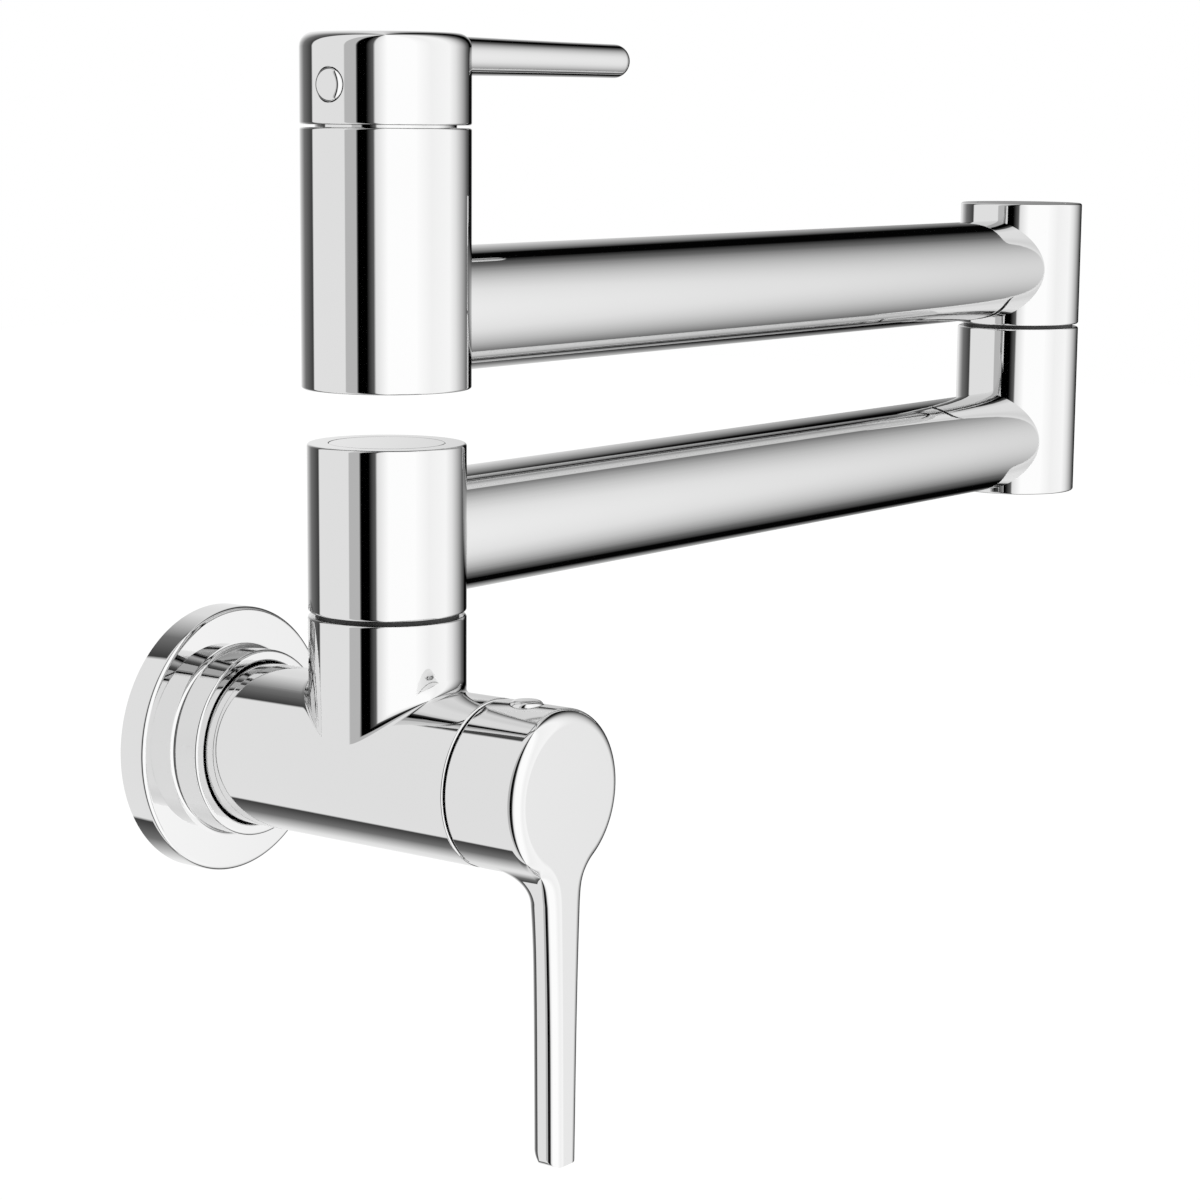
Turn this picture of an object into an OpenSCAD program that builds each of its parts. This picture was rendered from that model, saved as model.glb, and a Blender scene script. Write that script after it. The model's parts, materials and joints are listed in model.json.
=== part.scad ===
// Wall mounted pot filler with a double-jointed folding spout and two quarter-turn valves.
// The origin is the centre of the supply inlet's mouth, in the plane of the wall (y = 0).
// The barrel runs out from the wall along -Y, +Z is up, and the folded arms lie along +X.

/* [Layout] */
// Distance from the wall to the axis of the riser, which the folded outlet shares
wall_offset = 50.9; // [48:0.1:62]
// Distance between the two upright axes that an arm joins
arm_reach = 278.3; // [180:0.1:360]
// Height of the riser's top above the barrel's axis
riser_rise = 33; // [32:0.1:45]
// Height from the lower arm's centre line to the upper arm's
arm_spacing = 48.3; // [46:0.1:60]
// Gap between the two faces that turn past each other at a swivel
swivel_gap = 0.85; // [0.6:0.05:1.2]

/* [Arms and hubs] */
// Outer diameter of the arm tubes
tube_d = 27; // [25:0.1:28]
// Wall of the arm tubes
tube_wall = 1.3; // [0.8:0.1:1.8]
// Diameter of the riser and of the swivel hubs
hub_d = 34; // [32.5:0.1:38]
// Rounding of the hubs' edges
hub_round = 0.6; // [0.3:0.1:1.2]
// Depth of the lower hub below the lower arm's centre line
lower_hub_skirt = 15.15; // [14.5:0.05:18]
// Height of the lower hub above the lower arm's centre line
lower_hub_crown = 20.85; // [19.5:0.05:24]
// Depth of the elbow's base below the lower arm's centre line
elbow_base_skirt = 14.85; // [14:0.05:20]
// Thickness of the elbow base's closed floor
elbow_floor_t = 8; // [3:0.1:8.4]
// Depth of the elbow's upper hub below the upper arm's centre line
elbow_top_skirt = 15.6; // [14.5:0.05:18]
// Height of the elbow's upper hub above the upper arm's centre line
elbow_top_crown = 18.3; // [18:0.05:24]
// Diameter of the round cap let into the top of a hub
hub_cap_d = 24.8; // [24.2:0.1:26]
// Thickness of that cap
hub_cap_t = 2.5; // [1.5:0.1:3.2]
// Thickness of the solder film between a tube and its hub
solder_film = 0.05; // [0.02:0.01:0.1]

/* [Swivel spindles] */
// Diameter of the spindle that a hub turns on
spindle_d = 18; // [17:0.1:18.6]
// Diameter of the spindle's threaded foot
spindle_foot_d = 19; // [18.8:0.1:20]
// Length of the spindle's threaded foot
spindle_foot_len = 12; // [9:0.1:13]
// Diameter of the water passage in the spindle
spindle_bore_d = 10; // [8:0.1:11]
// Diameter of the cross holes that let the water into the hub
spindle_port_d = 7.2; // [5:0.1:8]
// Height of the ring of water around the cross holes
water_ring_h = 13; // [12.8:0.1:13.6]
// Wall of the hub around the ring of water
hub_wall = 4; // [3:0.1:4.5]
// Width of the spindle nut across its flats
spindle_nut_af = 18; // [17:0.1:18.6]
// Height of the spindle nut
spindle_nut_h = 4; // [3:0.1:4.4]
// Diameter of the thread under the spindle nut
spindle_tip_d = 12; // [10:0.1:14]
// Play between the spindle nut and the ledge that it holds down
end_play = 0.3; // [0.2:0.05:0.5]
// Outer diameter of the thrust washer
thrust_washer_d = 30.8; // [26:0.1:31]

/* [Wall valve] */
// Wall of the barrel and of the outlet body around the thread that clamps a cartridge
housing_wall = 4.5; // [4.2:0.1:7.5]
// Length of the barrel past the axis of the riser
barrel_reach = 29.7; // [27:0.1:36]
// Rounding of the housings' rims
housing_round = 0.5; // [0.3:0.1:1]
// Diameter of the supply inlet's thread
inlet_thread_d = 18.6; // [16:0.1:21]
// Depth of the supply inlet's thread
inlet_thread_len = 14; // [10:0.1:18]
// Diameter of the waterways bored in the castings
waterway_d = 12; // [9:0.1:12.4]

/* [Wall flange] */
// Outer diameter of the wall flange
flange_d = 59.7; // [54:0.1:80]
// Depth of the flange's rim
flange_t = 6.9; // [5:0.1:10]
// Wall of the flange's shell
flange_wall = 1.5; // [1:0.1:2]
// Rounding of the flange's front rim
flange_round = 0.7; // [0.3:0.1:1.2]
// Height of the bead at the foot of the collar
bead_h = 1.05; // [0.6:0.05:2]
// How far the bead stands out around the collar
bead_lip = 0.75; // [0.4:0.05:1.5]
// Wall of the collar around the barrel
collar_wall = 2.75; // [2.6:0.05:4]
// Length of the collar in front of the bead
collar_len = 6.15; // [5:0.05:9]
// Gap between the collar and the barrel
collar_gap = 0.15; // [0.1:0.01:0.3]
// Thickness of the section of the ring that grips the barrel
grip_ring_t = 2.1; // [1.8:0.1:2.3]
// Width of the foam gasket behind the flange
gasket_w = 3; // [2:0.1:5]

/* [Valve cartridges] */
// Diameter of a cartridge's barrel
cartridge_d = 18; // [17.4:0.1:18.6]
// Wall of a cartridge's barrel
cartridge_wall = 1.3; // [1:0.1:1.6]
// Length of a cartridge from its seat to its shoulder
cartridge_len = 30; // [28:0.1:31]
// Diameter of a cartridge's shoulder
shoulder_d = 24.5; // [24:0.1:25.4]
// Thickness of a cartridge's shoulder
shoulder_t = 3; // [2.6:0.1:4]
// Diameter of a cartridge's neck
neck_d = 14; // [13:0.1:16]
// Depth of the socket that a cartridge's foot stands in
foot_socket = 4; // [3:0.1:5]
// Diameter of the water chamber around a cartridge
chamber_d = 22; // [21:0.1:23]
// Diameter of the thread that clamps a cartridge
clamp_thread_d = 27; // [26.2:0.1:28.6]
// Depth of that thread in its housing
clamp_depth = 11; // [9:0.1:12]
// Diameter of the clamp ring's rim, seen in the gap under a handle
clamp_rim_d = 29.8; // [29:0.1:30.4]
// Thickness of that rim
clamp_rim_t = 2.2; // [1.6:0.1:2.4]
// Number of spanner notches in that rim
clamp_notches = 4; // [2:1:8]
// Width of a spanner notch
notch_w = 3; // [2:0.1:4]
// Height of the seal at a cartridge's seat
seat_seal_h = 3; // [2.4:0.1:3.6]
// Thickness of the fixed ceramic disc
fixed_disc_t = 3.2; // [2.4:0.1:3.6]
// Thickness of the turning ceramic disc
turning_disc_t = 2.6; // [2.2:0.1:3]
// Film of grease between the two discs
disc_film = 0.05; // [0.02:0.01:0.1]
// Diameter of a valve stem
stem_d = 8; // [7:0.1:8.6]
// Length of the stem's splined end inside the handle
spline_len = 8.4; // [7:0.1:9]
// Height of the drive head on the stem
drive_head_h = 3; // [2:0.1:3.4]
// Width of the drive head
drive_head_w = 6.5; // [5:0.1:8]
// Height of the side windows of a cartridge
window_h = 6; // [4:0.1:7]
// Width of those windows
window_w = 8; // [6:0.1:10]

/* [Handles] */
// Gap between a handle and its housing
handle_gap = 0.6; // [0.4:0.05:1]
// Length of a handle's hub along its axis
handle_hub_len = 18.9; // [18.4:0.05:24]
// Rounding of a handle's outer rim, which runs on along the spoon lever
handle_round = 3; // [1.5:0.1:3.2]
// Length of the spoon lever from the hub's axis to its tip
spoon_reach = 79.6; // [60:0.1:110]
// Width of the spoon lever where it leaves the hub
spoon_root_w = 10.3; // [9:0.1:14]
// Width of the spoon lever at its tip
spoon_tip_w = 8.7; // [8.7:0.1:12]
// Thickness of the spoon lever
spoon_t = 7.6; // [7.6:0.1:9]
// Rounding of the lever's edges towards the wall
spoon_back_round = 4.1; // [2:0.1:4.1]
// Radius of the hollow between the hub and the lever, in plan
spoon_blend = 8.5; // [6:0.1:10.5]
// Radius of the hollow between the hub and the lever's back
spoon_hollow = 7.8; // [5:0.1:8.4]
// Rounding of the lever's tip, in plan
spoon_corner = 2; // [0.8:0.1:2.5]
// Rounding of the lever's tip towards the wall
spoon_heel = 3; // [1:0.1:3]
// Height of the lever rod's axis above the bottom of its hub
rod_rise = 14.65; // [13.6:0.05:14.7]
// Reach of the lever rod from the hub's axis to its tip
rod_reach = 84.4; // [60:0.1:110]
// Diameter of the lever rod at its round tip
rod_tip_d = 7.6; // [7:0.1:8]
// How much thicker the lever rod is where it leaves the hub
rod_flare = 0.9; // [0.2:0.1:1]
// Diameter of the rod's threaded spigot
rod_spigot_d = 5; // [4:0.1:5.6]
// Length of the rod's threaded spigot
rod_spigot_len = 6; // [4:0.1:8]
// Height of the set screw's axis above its housing, on the shutoff handle
shutoff_screw_rise = 8.05; // [7.9:0.05:8.6]
// Height of the set screw's axis above its housing, on the outlet handle
outlet_screw_rise = 8.65; // [7.9:0.05:8.9]
// Diameter of the set screws
set_screw_d = 5; // [4:0.1:5.4]
// Length of the set screws
set_screw_len = 8; // [6:0.1:9]
// Width of the hexagon socket in a set screw
set_screw_key = 2.5; // [2:0.1:3]
// Diameter of the cap over a set screw
screw_cap_d = 6.6; // [6:0.1:7]
// Depth of that cap's hole
screw_cap_seat = 2.6; // [2:0.1:3]
// How far that cap stands out of the hub
screw_cap_proud = 0.7; // [0.4:0.05:1]

/* [Outlet] */
// Depth of the outlet body below the upper arm's centre line
outlet_skirt = 15.8; // [15.2:0.05:18]
// Height of the outlet body above the upper arm's centre line
outlet_crown = 38.65; // [38:0.05:39.4]
// Diameter of the aerator's thread
aerator_d = 24; // [22:0.1:26]
// Height of the aerator's housing
aerator_h = 7; // [6:0.1:7.4]
// How far the aerator lies inside the outlet's mouth
aerator_recess = 0.6; // [0.4:0.05:1]
// Wall of the aerator's housing
aerator_wall = 1.8; // [1.2:0.1:2.4]
// Thickness of the aerator's sealing washer
aerator_washer_t = 1.2; // [0.8:0.1:1.4]
// Spacing of the jets in the aerator's insert
jet_pitch = 3.4; // [3:0.1:4.2]
// Diameter of a jet
jet_d = 1.8; // [1.2:0.1:2.2]

/* [Hidden] */
$fn = 64;

// Small sizes that every piece shares
overrun = 1;
thread_fit = 0.05;
running_fit = 0.08;
ring_fit = 0.02;

// Colours of the finishes
chrome = [0.83, 0.84, 0.86];
raw_brass = [0.80, 0.66, 0.36];
steel = [0.66, 0.67, 0.69];
ceramic = [0.94, 0.93, 0.90];
black_rubber = [0.10, 0.10, 0.11];
black_acetal = [0.05, 0.05, 0.055];
grey_foam = [0.35, 0.36, 0.38];
grey_nylon = [0.55, 0.57, 0.60];

// Diameters and radii worked out once
hub_r = hub_d / 2;
housing_d = clamp_thread_d + 2 * housing_wall;
housing_r = housing_d / 2;
tube_r = tube_d / 2;
spindle_r = spindle_d / 2;
stem_r = stem_d / 2;
cartridge_r = cartridge_d / 2;
rod_tip_r = rod_tip_d / 2;

// Heights of the swivels and arms above the barrel's axis
lower_hub_z = riser_rise + swivel_gap;
lower_arm_z = lower_hub_z + lower_hub_skirt;
lower_hub_h = lower_hub_skirt + lower_hub_crown;
upper_arm_z = lower_arm_z + arm_spacing;
elbow_base_z = lower_arm_z - elbow_base_skirt;
elbow_top_z = upper_arm_z - elbow_top_skirt;
elbow_base_h = elbow_top_z - swivel_gap - elbow_base_z;
elbow_top_h = elbow_top_skirt + elbow_top_crown;
outlet_z = upper_arm_z - outlet_skirt;
outlet_h = outlet_skirt + outlet_crown;

// Heights inside a swivel hub, counted down from its top
nut_play = 1.05;
nut_room = end_play + spindle_nut_h + nut_play;
hub_ledge_drop = hub_cap_t + nut_room;
hub_cap_fit = 0.05;
nut_clearance = 0.7;
nut_well_r = spindle_nut_af / 2 / cos(30) + nut_clearance;
water_ring_r = hub_r - hub_wall;
side_port_share = 0.97;
side_port_d = water_ring_h * side_port_share;
washer_play = 0.1;
elbow_bore_d = spindle_d - 2 * hub_round;

// Sealing rings of the spindles and stems
spindle_ring_t = 2.4;
stem_ring_t = 1.8;
shoulder_ring_t = 1.8;
ring_side_play = 0.1;

// Heights along a cartridge, counted from its seat towards the handle
foot_gap = 0.3;
clamp_z = cartridge_len + shoulder_t;
seat_depth = clamp_z + clamp_depth;
fixed_disc_z = seat_seal_h;
turning_disc_z = fixed_disc_z + fixed_disc_t + disc_film;
drive_head_z = turning_disc_z + turning_disc_t + disc_film;
disc_room_h = drive_head_z + drive_head_h + window_h;
disc_r = cartridge_r - cartridge_wall - thread_fit;
tang_w = 3;
tang_len = 9;
tang_h = 1.2;
clamp_rim_z = seat_depth + clamp_rim_t;
neck_play = 0.4;
neck_top_z = clamp_rim_z + neck_play;
clip_t = 0.8;
clip_r = 6.2;
clip_gap = 0.1;
clip_groove = 0.8;
clip_mouth = 4.8;
clip_z = neck_top_z + clip_gap;
well_play = 0.4;
handle_well_z = clip_z + clip_t + well_play;
stem_top_z = handle_well_z + spline_len;
socket_play = 0.3;
well_clearance = 0.7;
well_r = clamp_rim_d / 2 + well_clearance;

// Where the two housings end and their cartridges stand
barrel_len = wall_offset + barrel_reach;
shutoff_seat_y = barrel_len - seat_depth;
outlet_top_z = outlet_z + outlet_h;
outlet_seat_z = outlet_top_z - seat_depth;
outlet_port_rise = foot_socket + waterway_d / 2 + ring_side_play;

// Places a child whose axis leaves the wall along +Z and whose lever points along +X,
// so that its axis runs along -Y and its lever hangs down.
module from_wall(distance = 0) {
    rotate([90, 0, 0]) rotate([0, 0, -90]) translate([0, 0, distance]) children();
}

module at_riser(z = 0) {
    translate([0, -wall_offset, z]) children();
}

module at_elbow(z = 0) {
    translate([arm_reach, -wall_offset, z]) children();
}

// Round bar standing on z = 0, with a true fillet at its lower and upper rim
module round_bar(r, h, low = 0, high = 0) {
    rotate_extrude() {
        translate([0, low]) square([r, h - low - high]);
        square([r - low, h - high]);
        translate([0, low]) square([r - high, h - low]);
        if (low > 0) translate([r - low, low]) circle(r = low);
        if (high > 0) translate([r - high, h - high]) circle(r = high);
    }
}

module ring(outer_r, inner_r, h) {
    rotate_extrude() translate([inner_r, 0]) square([outer_r - inner_r, h]);
}

// Sealing ring of round section, with its mid plane on z = 0
module seal_ring(inner_r, t) {
    rotate_extrude() translate([inner_r + t / 2, 0]) circle(d = t);
}

// Groove cut for a sealing ring that fills it to the radius r
module ring_groove(r, t) {
    translate([0, 0, -t / 2 - ring_side_play])
        ring(r + overrun, r - t - ring_fit, t + 2 * ring_side_play);
}

// Side bore from the axis of a hub out through its wall along +X
module side_bore(d, r, z) {
    translate([0, 0, z]) rotate([0, 90, 0]) cylinder(d = d, h = r + overrun);
}

// Wall flange: a shell with a stepped collar around the barrel
flange_bead_r = housing_r + collar_gap + collar_wall + bead_lip;
collar_r = housing_r + collar_gap + collar_wall;
collar_z = flange_t + bead_h;
collar_top_z = collar_z + collar_len;
grip_ring_z = collar_top_z - collar_len / 2;

module wall_flange() {
    color(chrome) from_wall() difference() {
        union() {
            round_bar(flange_d / 2, flange_t, 0, flange_round);
            round_bar(flange_bead_r, collar_z, 0, bead_h / 2);
            round_bar(collar_r, collar_top_z, 0, flange_round);
        }
        translate([0, 0, -overrun])
            cylinder(r = flange_d / 2 - flange_wall, h = flange_t - flange_wall + overrun);
        translate([0, 0, -overrun])
            cylinder(r = housing_r + collar_gap, h = collar_top_z + 2 * overrun);
        translate([0, 0, grip_ring_z - grip_ring_t / 2 - ring_side_play])
            cylinder(r = housing_r + grip_ring_t + 2 * ring_fit, h = grip_ring_t + 2 * ring_side_play);
    }
}

module flange_gasket() {
    gasket_r = flange_d / 2 - flange_wall - thread_fit;
    gasket_t = flange_t - flange_wall - thread_fit;
    color(grey_foam) from_wall() ring(gasket_r, gasket_r - gasket_w, gasket_t);
}

module flange_grip_ring() {
    color(black_rubber) from_wall(grip_ring_z) seal_ring(housing_r + ring_fit, grip_ring_t);
}

// Water passages of a housing around its cartridge, from the seat outwards
module cartridge_bores() {
    cylinder(r = cartridge_r + thread_fit, h = foot_socket + overrun);
    translate([0, 0, foot_socket]) cylinder(d = chamber_d, h = cartridge_len - foot_socket + overrun);
    translate([0, 0, cartridge_len]) cylinder(r = shoulder_d / 2 + thread_fit, h = shoulder_t + overrun);
    translate([0, 0, clamp_z]) cylinder(d = clamp_thread_d, h = clamp_depth + overrun);
}

// Valve body: the barrel that leaves the wall, with the riser standing on it
module valve_body() {
    color(chrome) difference() {
        union() {
            from_wall() round_bar(housing_r, barrel_len, housing_round, housing_round);
            at_riser() round_bar(hub_r, riser_rise, 0, hub_round);
        }
        from_wall(-overrun) cylinder(d = inlet_thread_d, h = inlet_thread_len + overrun);
        from_wall() cylinder(d = waterway_d, h = shutoff_seat_y + overrun);
        from_wall(shutoff_seat_y) cartridge_bores();
        at_riser() cylinder(d = waterway_d, h = riser_rise + overrun);
        at_riser(riser_rise - spindle_foot_len)
            cylinder(r = spindle_foot_d / 2 + thread_fit, h = spindle_foot_len + overrun);
    }
}

// One side of a ceramic disc's bow tie opening, as a share of its quarter turn
port_half_angle = 36;
port_inner_r = 1.6;
port_rim = 1.4;

module bow_tie(turn) {
    reach = disc_r - port_rim;
    rotate([0, 0, turn]) for (side = [0, 180]) rotate([0, 0, side]) intersection() {
        difference() {
            circle(r = reach);
            circle(r = port_inner_r);
        }
        polygon([
            [0, 0],
            [disc_r * cos(port_half_angle) * 2, disc_r * sin(port_half_angle) * 2],
            [disc_r * cos(port_half_angle) * 2, -disc_r * sin(port_half_angle) * 2]
        ]);
    }
}

module seat_seal() {
    ring(disc_r, disc_r - cartridge_wall * 2, seat_seal_h - disc_film);
}

module fixed_disc() {
    translate([0, 0, fixed_disc_z]) linear_extrude(fixed_disc_t) difference() {
        circle(r = disc_r);
        bow_tie(0);
    }
}

// The turning disc carries the slot that the stem's tang drives
module turning_disc() {
    slot = [tang_len + 2 * ring_side_play, tang_w + 2 * thread_fit, tang_h + disc_film];
    translate([0, 0, turning_disc_z]) difference() {
        linear_extrude(turning_disc_t) difference() {
            circle(r = disc_r - thread_fit);
            bow_tie(90);
        }
        translate([-slot.x / 2, -slot.y / 2, turning_disc_t - slot.z])
            cube([slot.x, slot.y, slot.z + overrun]);
    }
}

// Cartridge: a brass barrel with side windows, a shoulder that the clamp ring holds and a neck
// for the stem
module cartridge() {
    difference() {
        union() {
            translate([0, 0, foot_gap]) cylinder(r = cartridge_r, h = cartridge_len - foot_gap);
            translate([0, 0, cartridge_len]) cylinder(d = shoulder_d, h = shoulder_t);
            translate([0, 0, clamp_z]) cylinder(d = neck_d, h = neck_top_z - clamp_z);
        }
        cylinder(r = disc_r + thread_fit, h = disc_room_h);
        cylinder(r = stem_r + running_fit, h = neck_top_z + overrun);
        translate([-window_w / 2, -cartridge_d, drive_head_z + disc_film])
            cube([window_w, 2 * cartridge_d, window_h]);
        translate([0, 0, cartridge_len + shoulder_t / 2])
            ring_groove(shoulder_d / 2 + ring_fit, shoulder_ring_t);
    }
}

module shoulder_ring() {
    translate([0, 0, cartridge_len + shoulder_t / 2])
        seal_ring(shoulder_d / 2 + ring_fit - shoulder_ring_t, shoulder_ring_t);
}

// Clamp ring: screws into the housing over the cartridge's shoulder
module clamp_ring() {
    difference() {
        union() {
            translate([0, 0, clamp_z + thread_fit])
                cylinder(r = clamp_thread_d / 2 - thread_fit, h = clamp_depth);
            translate([0, 0, seat_depth + thread_fit])
                round_bar(clamp_rim_d / 2, clamp_rim_t - thread_fit, 0, housing_round);
        }
        cylinder(r = neck_d / 2 + thread_fit, h = clamp_rim_z + overrun);
        for (i = [0:clamp_notches - 1]) rotate([0, 0, i * 360 / clamp_notches])
            translate([neck_d / 2 + cartridge_wall * 2, -notch_w / 2, clamp_rim_z - clamp_rim_t / 2])
                cube([clamp_rim_d, notch_w, clamp_rim_t]);
    }
}

// Places of the two sealing rings in the cartridge's neck
stem_ring_z = [cartridge_len - 2 * stem_ring_t, cartridge_len + stem_ring_t];

// Stem: a driving head and tang on the turning disc, a round shaft and a splined end
spline_teeth = 20;
spline_depth = 0.35;

module stem() {
    difference() {
        union() {
            translate([0, 0, drive_head_z]) intersection() {
                cylinder(r = disc_r - running_fit, h = drive_head_h);
                translate([-disc_r, -drive_head_w / 2, 0]) cube([2 * disc_r, drive_head_w, drive_head_h]);
            }
            translate([-tang_len / 2, -tang_w / 2, drive_head_z - tang_h])
                cube([tang_len, tang_w, tang_h + overrun]);
            translate([0, 0, drive_head_z]) cylinder(r = stem_r, h = stem_top_z - drive_head_z);
        }
        for (z = stem_ring_z) translate([0, 0, z]) ring_groove(stem_r + ring_fit, stem_ring_t);
        translate([0, 0, clip_z]) ring(stem_r + overrun, stem_r - clip_groove, clip_t);
        for (i = [0:spline_teeth - 1]) rotate([0, 0, i * 360 / spline_teeth])
            translate([stem_r, 0, handle_well_z]) rotate([0, 0, 45])
                translate([-spline_depth, -spline_depth, 0])
                    cube([2 * spline_depth, 2 * spline_depth, spline_len + overrun]);
    }
}

module stem_rings() {
    for (z = stem_ring_z) translate([0, 0, z]) seal_ring(stem_r + ring_fit - stem_ring_t, stem_ring_t);
}

// Spring clip on the stem, open on one side
module stem_clip() {
    translate([0, 0, clip_z + ring_fit]) difference() {
        ring(clip_r, stem_r - clip_groove + ring_fit, clip_t - 2 * ring_fit);
        translate([0, -clip_mouth / 2, -overrun])
            cube([clip_r + overrun, clip_mouth, clip_t + 2 * overrun]);
    }
}

// Hollows that both handle hubs share, counted from the housing's rim.
// The set screw enters on the side away from the lever.
module handle_hollows(screw_rise) {
    well_h = handle_well_z - seat_depth;
    cap_r = screw_cap_d / 2 + hub_cap_fit;
    cylinder(r = well_r, h = well_h);
    cylinder(r = stem_r + thread_fit, h = well_h + spline_len + socket_play);
    translate([0, 0, screw_rise]) rotate([0, -90, 0]) {
        cylinder(r = set_screw_d / 2 + thread_fit, h = housing_r + overrun);
        translate([0, 0, housing_r - screw_cap_seat]) cylinder(r = cap_r, h = screw_cap_seat + overrun);
    }
}

module set_screw(screw_rise) {
    translate([0, 0, screw_rise]) rotate([0, -90, 0]) translate([0, 0, stem_r + ring_fit]) difference() {
        cylinder(d = set_screw_d, h = set_screw_len);
        translate([0, 0, set_screw_len - set_screw_key])
            cylinder(d = set_screw_key / cos(30), h = set_screw_key + overrun, $fn = 6);
    }
}

module screw_cap(screw_rise) {
    cap_seat_r = housing_r - screw_cap_seat + thread_fit;
    translate([0, 0, screw_rise]) rotate([0, -90, 0]) translate([0, 0, cap_seat_r])
        round_bar(screw_cap_d / 2, housing_r + screw_cap_proud - cap_seat_r, 0, screw_cap_proud);
}

// Shutoff handle: a round hub whose front face runs on into a spoon shaped lever.
// How far one of its faces sinks into the next, so that no two of them just touch
spoon_sink = 0.02;
// Its front and back planes, and the middle of the round back edges
spoon_front_z = handle_gap + handle_hub_len - spoon_sink;
spoon_back_z = spoon_front_z - spoon_t;
spoon_mid_z = spoon_back_z + spoon_back_round;
// How deep in the hub the hollow below the lever starts, and where it ends on the lever's back
hollow_bite = 0.3;
hollow_x = housing_r - hollow_bite + spoon_hollow;
// Centre of the hollow in plan, and how much each side of the lever leans in
spoon_blend_y = spoon_root_w / 2 + spoon_blend - spoon_sink;
spoon_blend_x = sqrt(pow(housing_r + spoon_blend - spoon_sink, 2) - pow(spoon_blend_y, 2));
spoon_lean = atan((spoon_root_w - spoon_tip_w) / 2 / (spoon_reach - spoon_blend_x));

// Cuts a square corner at the origin down to a rounding; the metal is on the minus side
module corner_cut(r) {
    difference() {
        translate([-r, -r]) square(r + overrun);
        translate([-r, -r]) circle(r = r);
    }
}

// Places a child on one side of the lever: the side's face is y = 0 there and the metal below it
module along_spoon(side) {
    mirror([0, side, 0]) translate([spoon_blend_x, spoon_root_w / 2, 0])
        rotate([0, 0, -spoon_lean]) translate([-spoon_blend_x, 0, 0]) children();
}

// Half of the lever and more, with one side's two long edges rounded
module spoon_half() {
    rotate([90, 0, 90]) linear_extrude(spoon_reach + overrun) difference() {
        translate([-housing_r, spoon_back_z]) square([housing_r, spoon_t]);
        translate([0, spoon_front_z]) corner_cut(handle_round);
        translate([0, spoon_back_z]) mirror([0, 1]) corner_cut(spoon_back_round);
    }
}

// The straight lever, from the hub's axis to the tip
module spoon_bar() {
    difference() {
        intersection() {
            along_spoon(0) spoon_half();
            along_spoon(1) spoon_half();
        }
        translate([spoon_reach, -housing_r, 0]) cube(housing_d);
        for (side = [0, 1]) mirror([0, side, 0])
            translate([spoon_reach, spoon_tip_w / 2 + spoon_sink, 0])
                linear_extrude(spoon_front_z + overrun) corner_cut(spoon_corner);
        rotate([90, 0, 0]) translate([spoon_reach, spoon_back_z, -housing_r])
            linear_extrude(housing_d) mirror([0, 1]) corner_cut(spoon_heel);
    }
}

// Round back edge of one side, which flares out over the hollow below the lever
module spoon_flare() {
    edge_r = spoon_back_round - spoon_sink;
    translate([0, -spoon_back_round, spoon_mid_z]) rotate([0, 90, 0]) rotate_extrude() difference() {
        square([edge_r + spoon_hollow, hollow_x]);
        translate([edge_r + spoon_hollow, hollow_x]) circle(r = spoon_hollow);
    }
}

// Bounds the lever's root from below: both flares and the strip between them
module spoon_root() {
    strip_y = spoon_root_w / 2 - spoon_back_round - spoon_sink;
    for (side = [0, 1]) along_spoon(side) spoon_flare();
    rotate([90, 0, 0]) translate([0, 0, -strip_y]) linear_extrude(2 * strip_y) difference() {
        translate([0, spoon_back_z - spoon_hollow]) square([hollow_x, spoon_hollow + spoon_back_round]);
        translate([hollow_x, spoon_back_z - spoon_hollow + 2 * spoon_sink]) circle(r = spoon_hollow);
    }
}

// Cuts the hollow in plan, which flares out at the front by the handle's rounding
module spoon_blend_cut() {
    translate([spoon_blend_x, spoon_blend_y, 0]) rotate_extrude() difference() {
        square([spoon_blend + handle_round, spoon_front_z + overrun]);
        translate([spoon_blend, 0]) square([handle_round, spoon_front_z - handle_round]);
        translate([spoon_blend + handle_round, spoon_front_z - handle_round]) circle(r = handle_round);
    }
}

// The web between the hub and the lever, with its two hollows in plan
module spoon_web() {
    difference() {
        linear_extrude(spoon_front_z) polygon([
            [0, 0], [spoon_blend_x, spoon_blend_y], [spoon_blend_x, -spoon_blend_y]
        ]);
        for (side = [0, 1]) mirror([0, side, 0]) spoon_blend_cut();
    }
}

// The lever's sides in plan, from the hub's axis to where the hollow ends
module spoon_sides() {
    hub_y = spoon_root_w / 2 + spoon_blend_x * tan(spoon_lean);
    hollow_y = hub_y - hollow_x * tan(spoon_lean);
    linear_extrude(spoon_mid_z)
        polygon([[0, -hub_y], [hollow_x, -hollow_y], [hollow_x, hollow_y], [0, hub_y]]);
}

module shutoff_handle() {
    color(chrome) from_wall(barrel_len) difference() {
        union() {
            translate([0, 0, handle_gap]) round_bar(housing_r, handle_hub_len, housing_round, handle_round);
            spoon_bar();
            intersection() {
                spoon_web();
                union() {
                    spoon_root();
                    translate([0, -housing_r, spoon_mid_z]) cube([spoon_reach, housing_d, spoon_t]);
                }
            }
            intersection() {
                spoon_sides();
                spoon_root();
            }
        }
        handle_hollows(shutoff_screw_rise);
    }
}

// Outlet handle: a hub with a soft top rim, and a slim rod for a lever
module outlet_handle_hub() {
    color(chrome) at_riser(outlet_top_z) difference() {
        translate([0, 0, handle_gap]) round_bar(housing_r, handle_hub_len, housing_round, handle_round);
        handle_hollows(outlet_screw_rise);
        translate([housing_r - rod_spigot_len, 0, handle_gap + rod_rise]) rotate([0, 90, 0])
            cylinder(r = rod_spigot_d / 2 + thread_fit, h = rod_spigot_len + overrun);
    }
}

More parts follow.
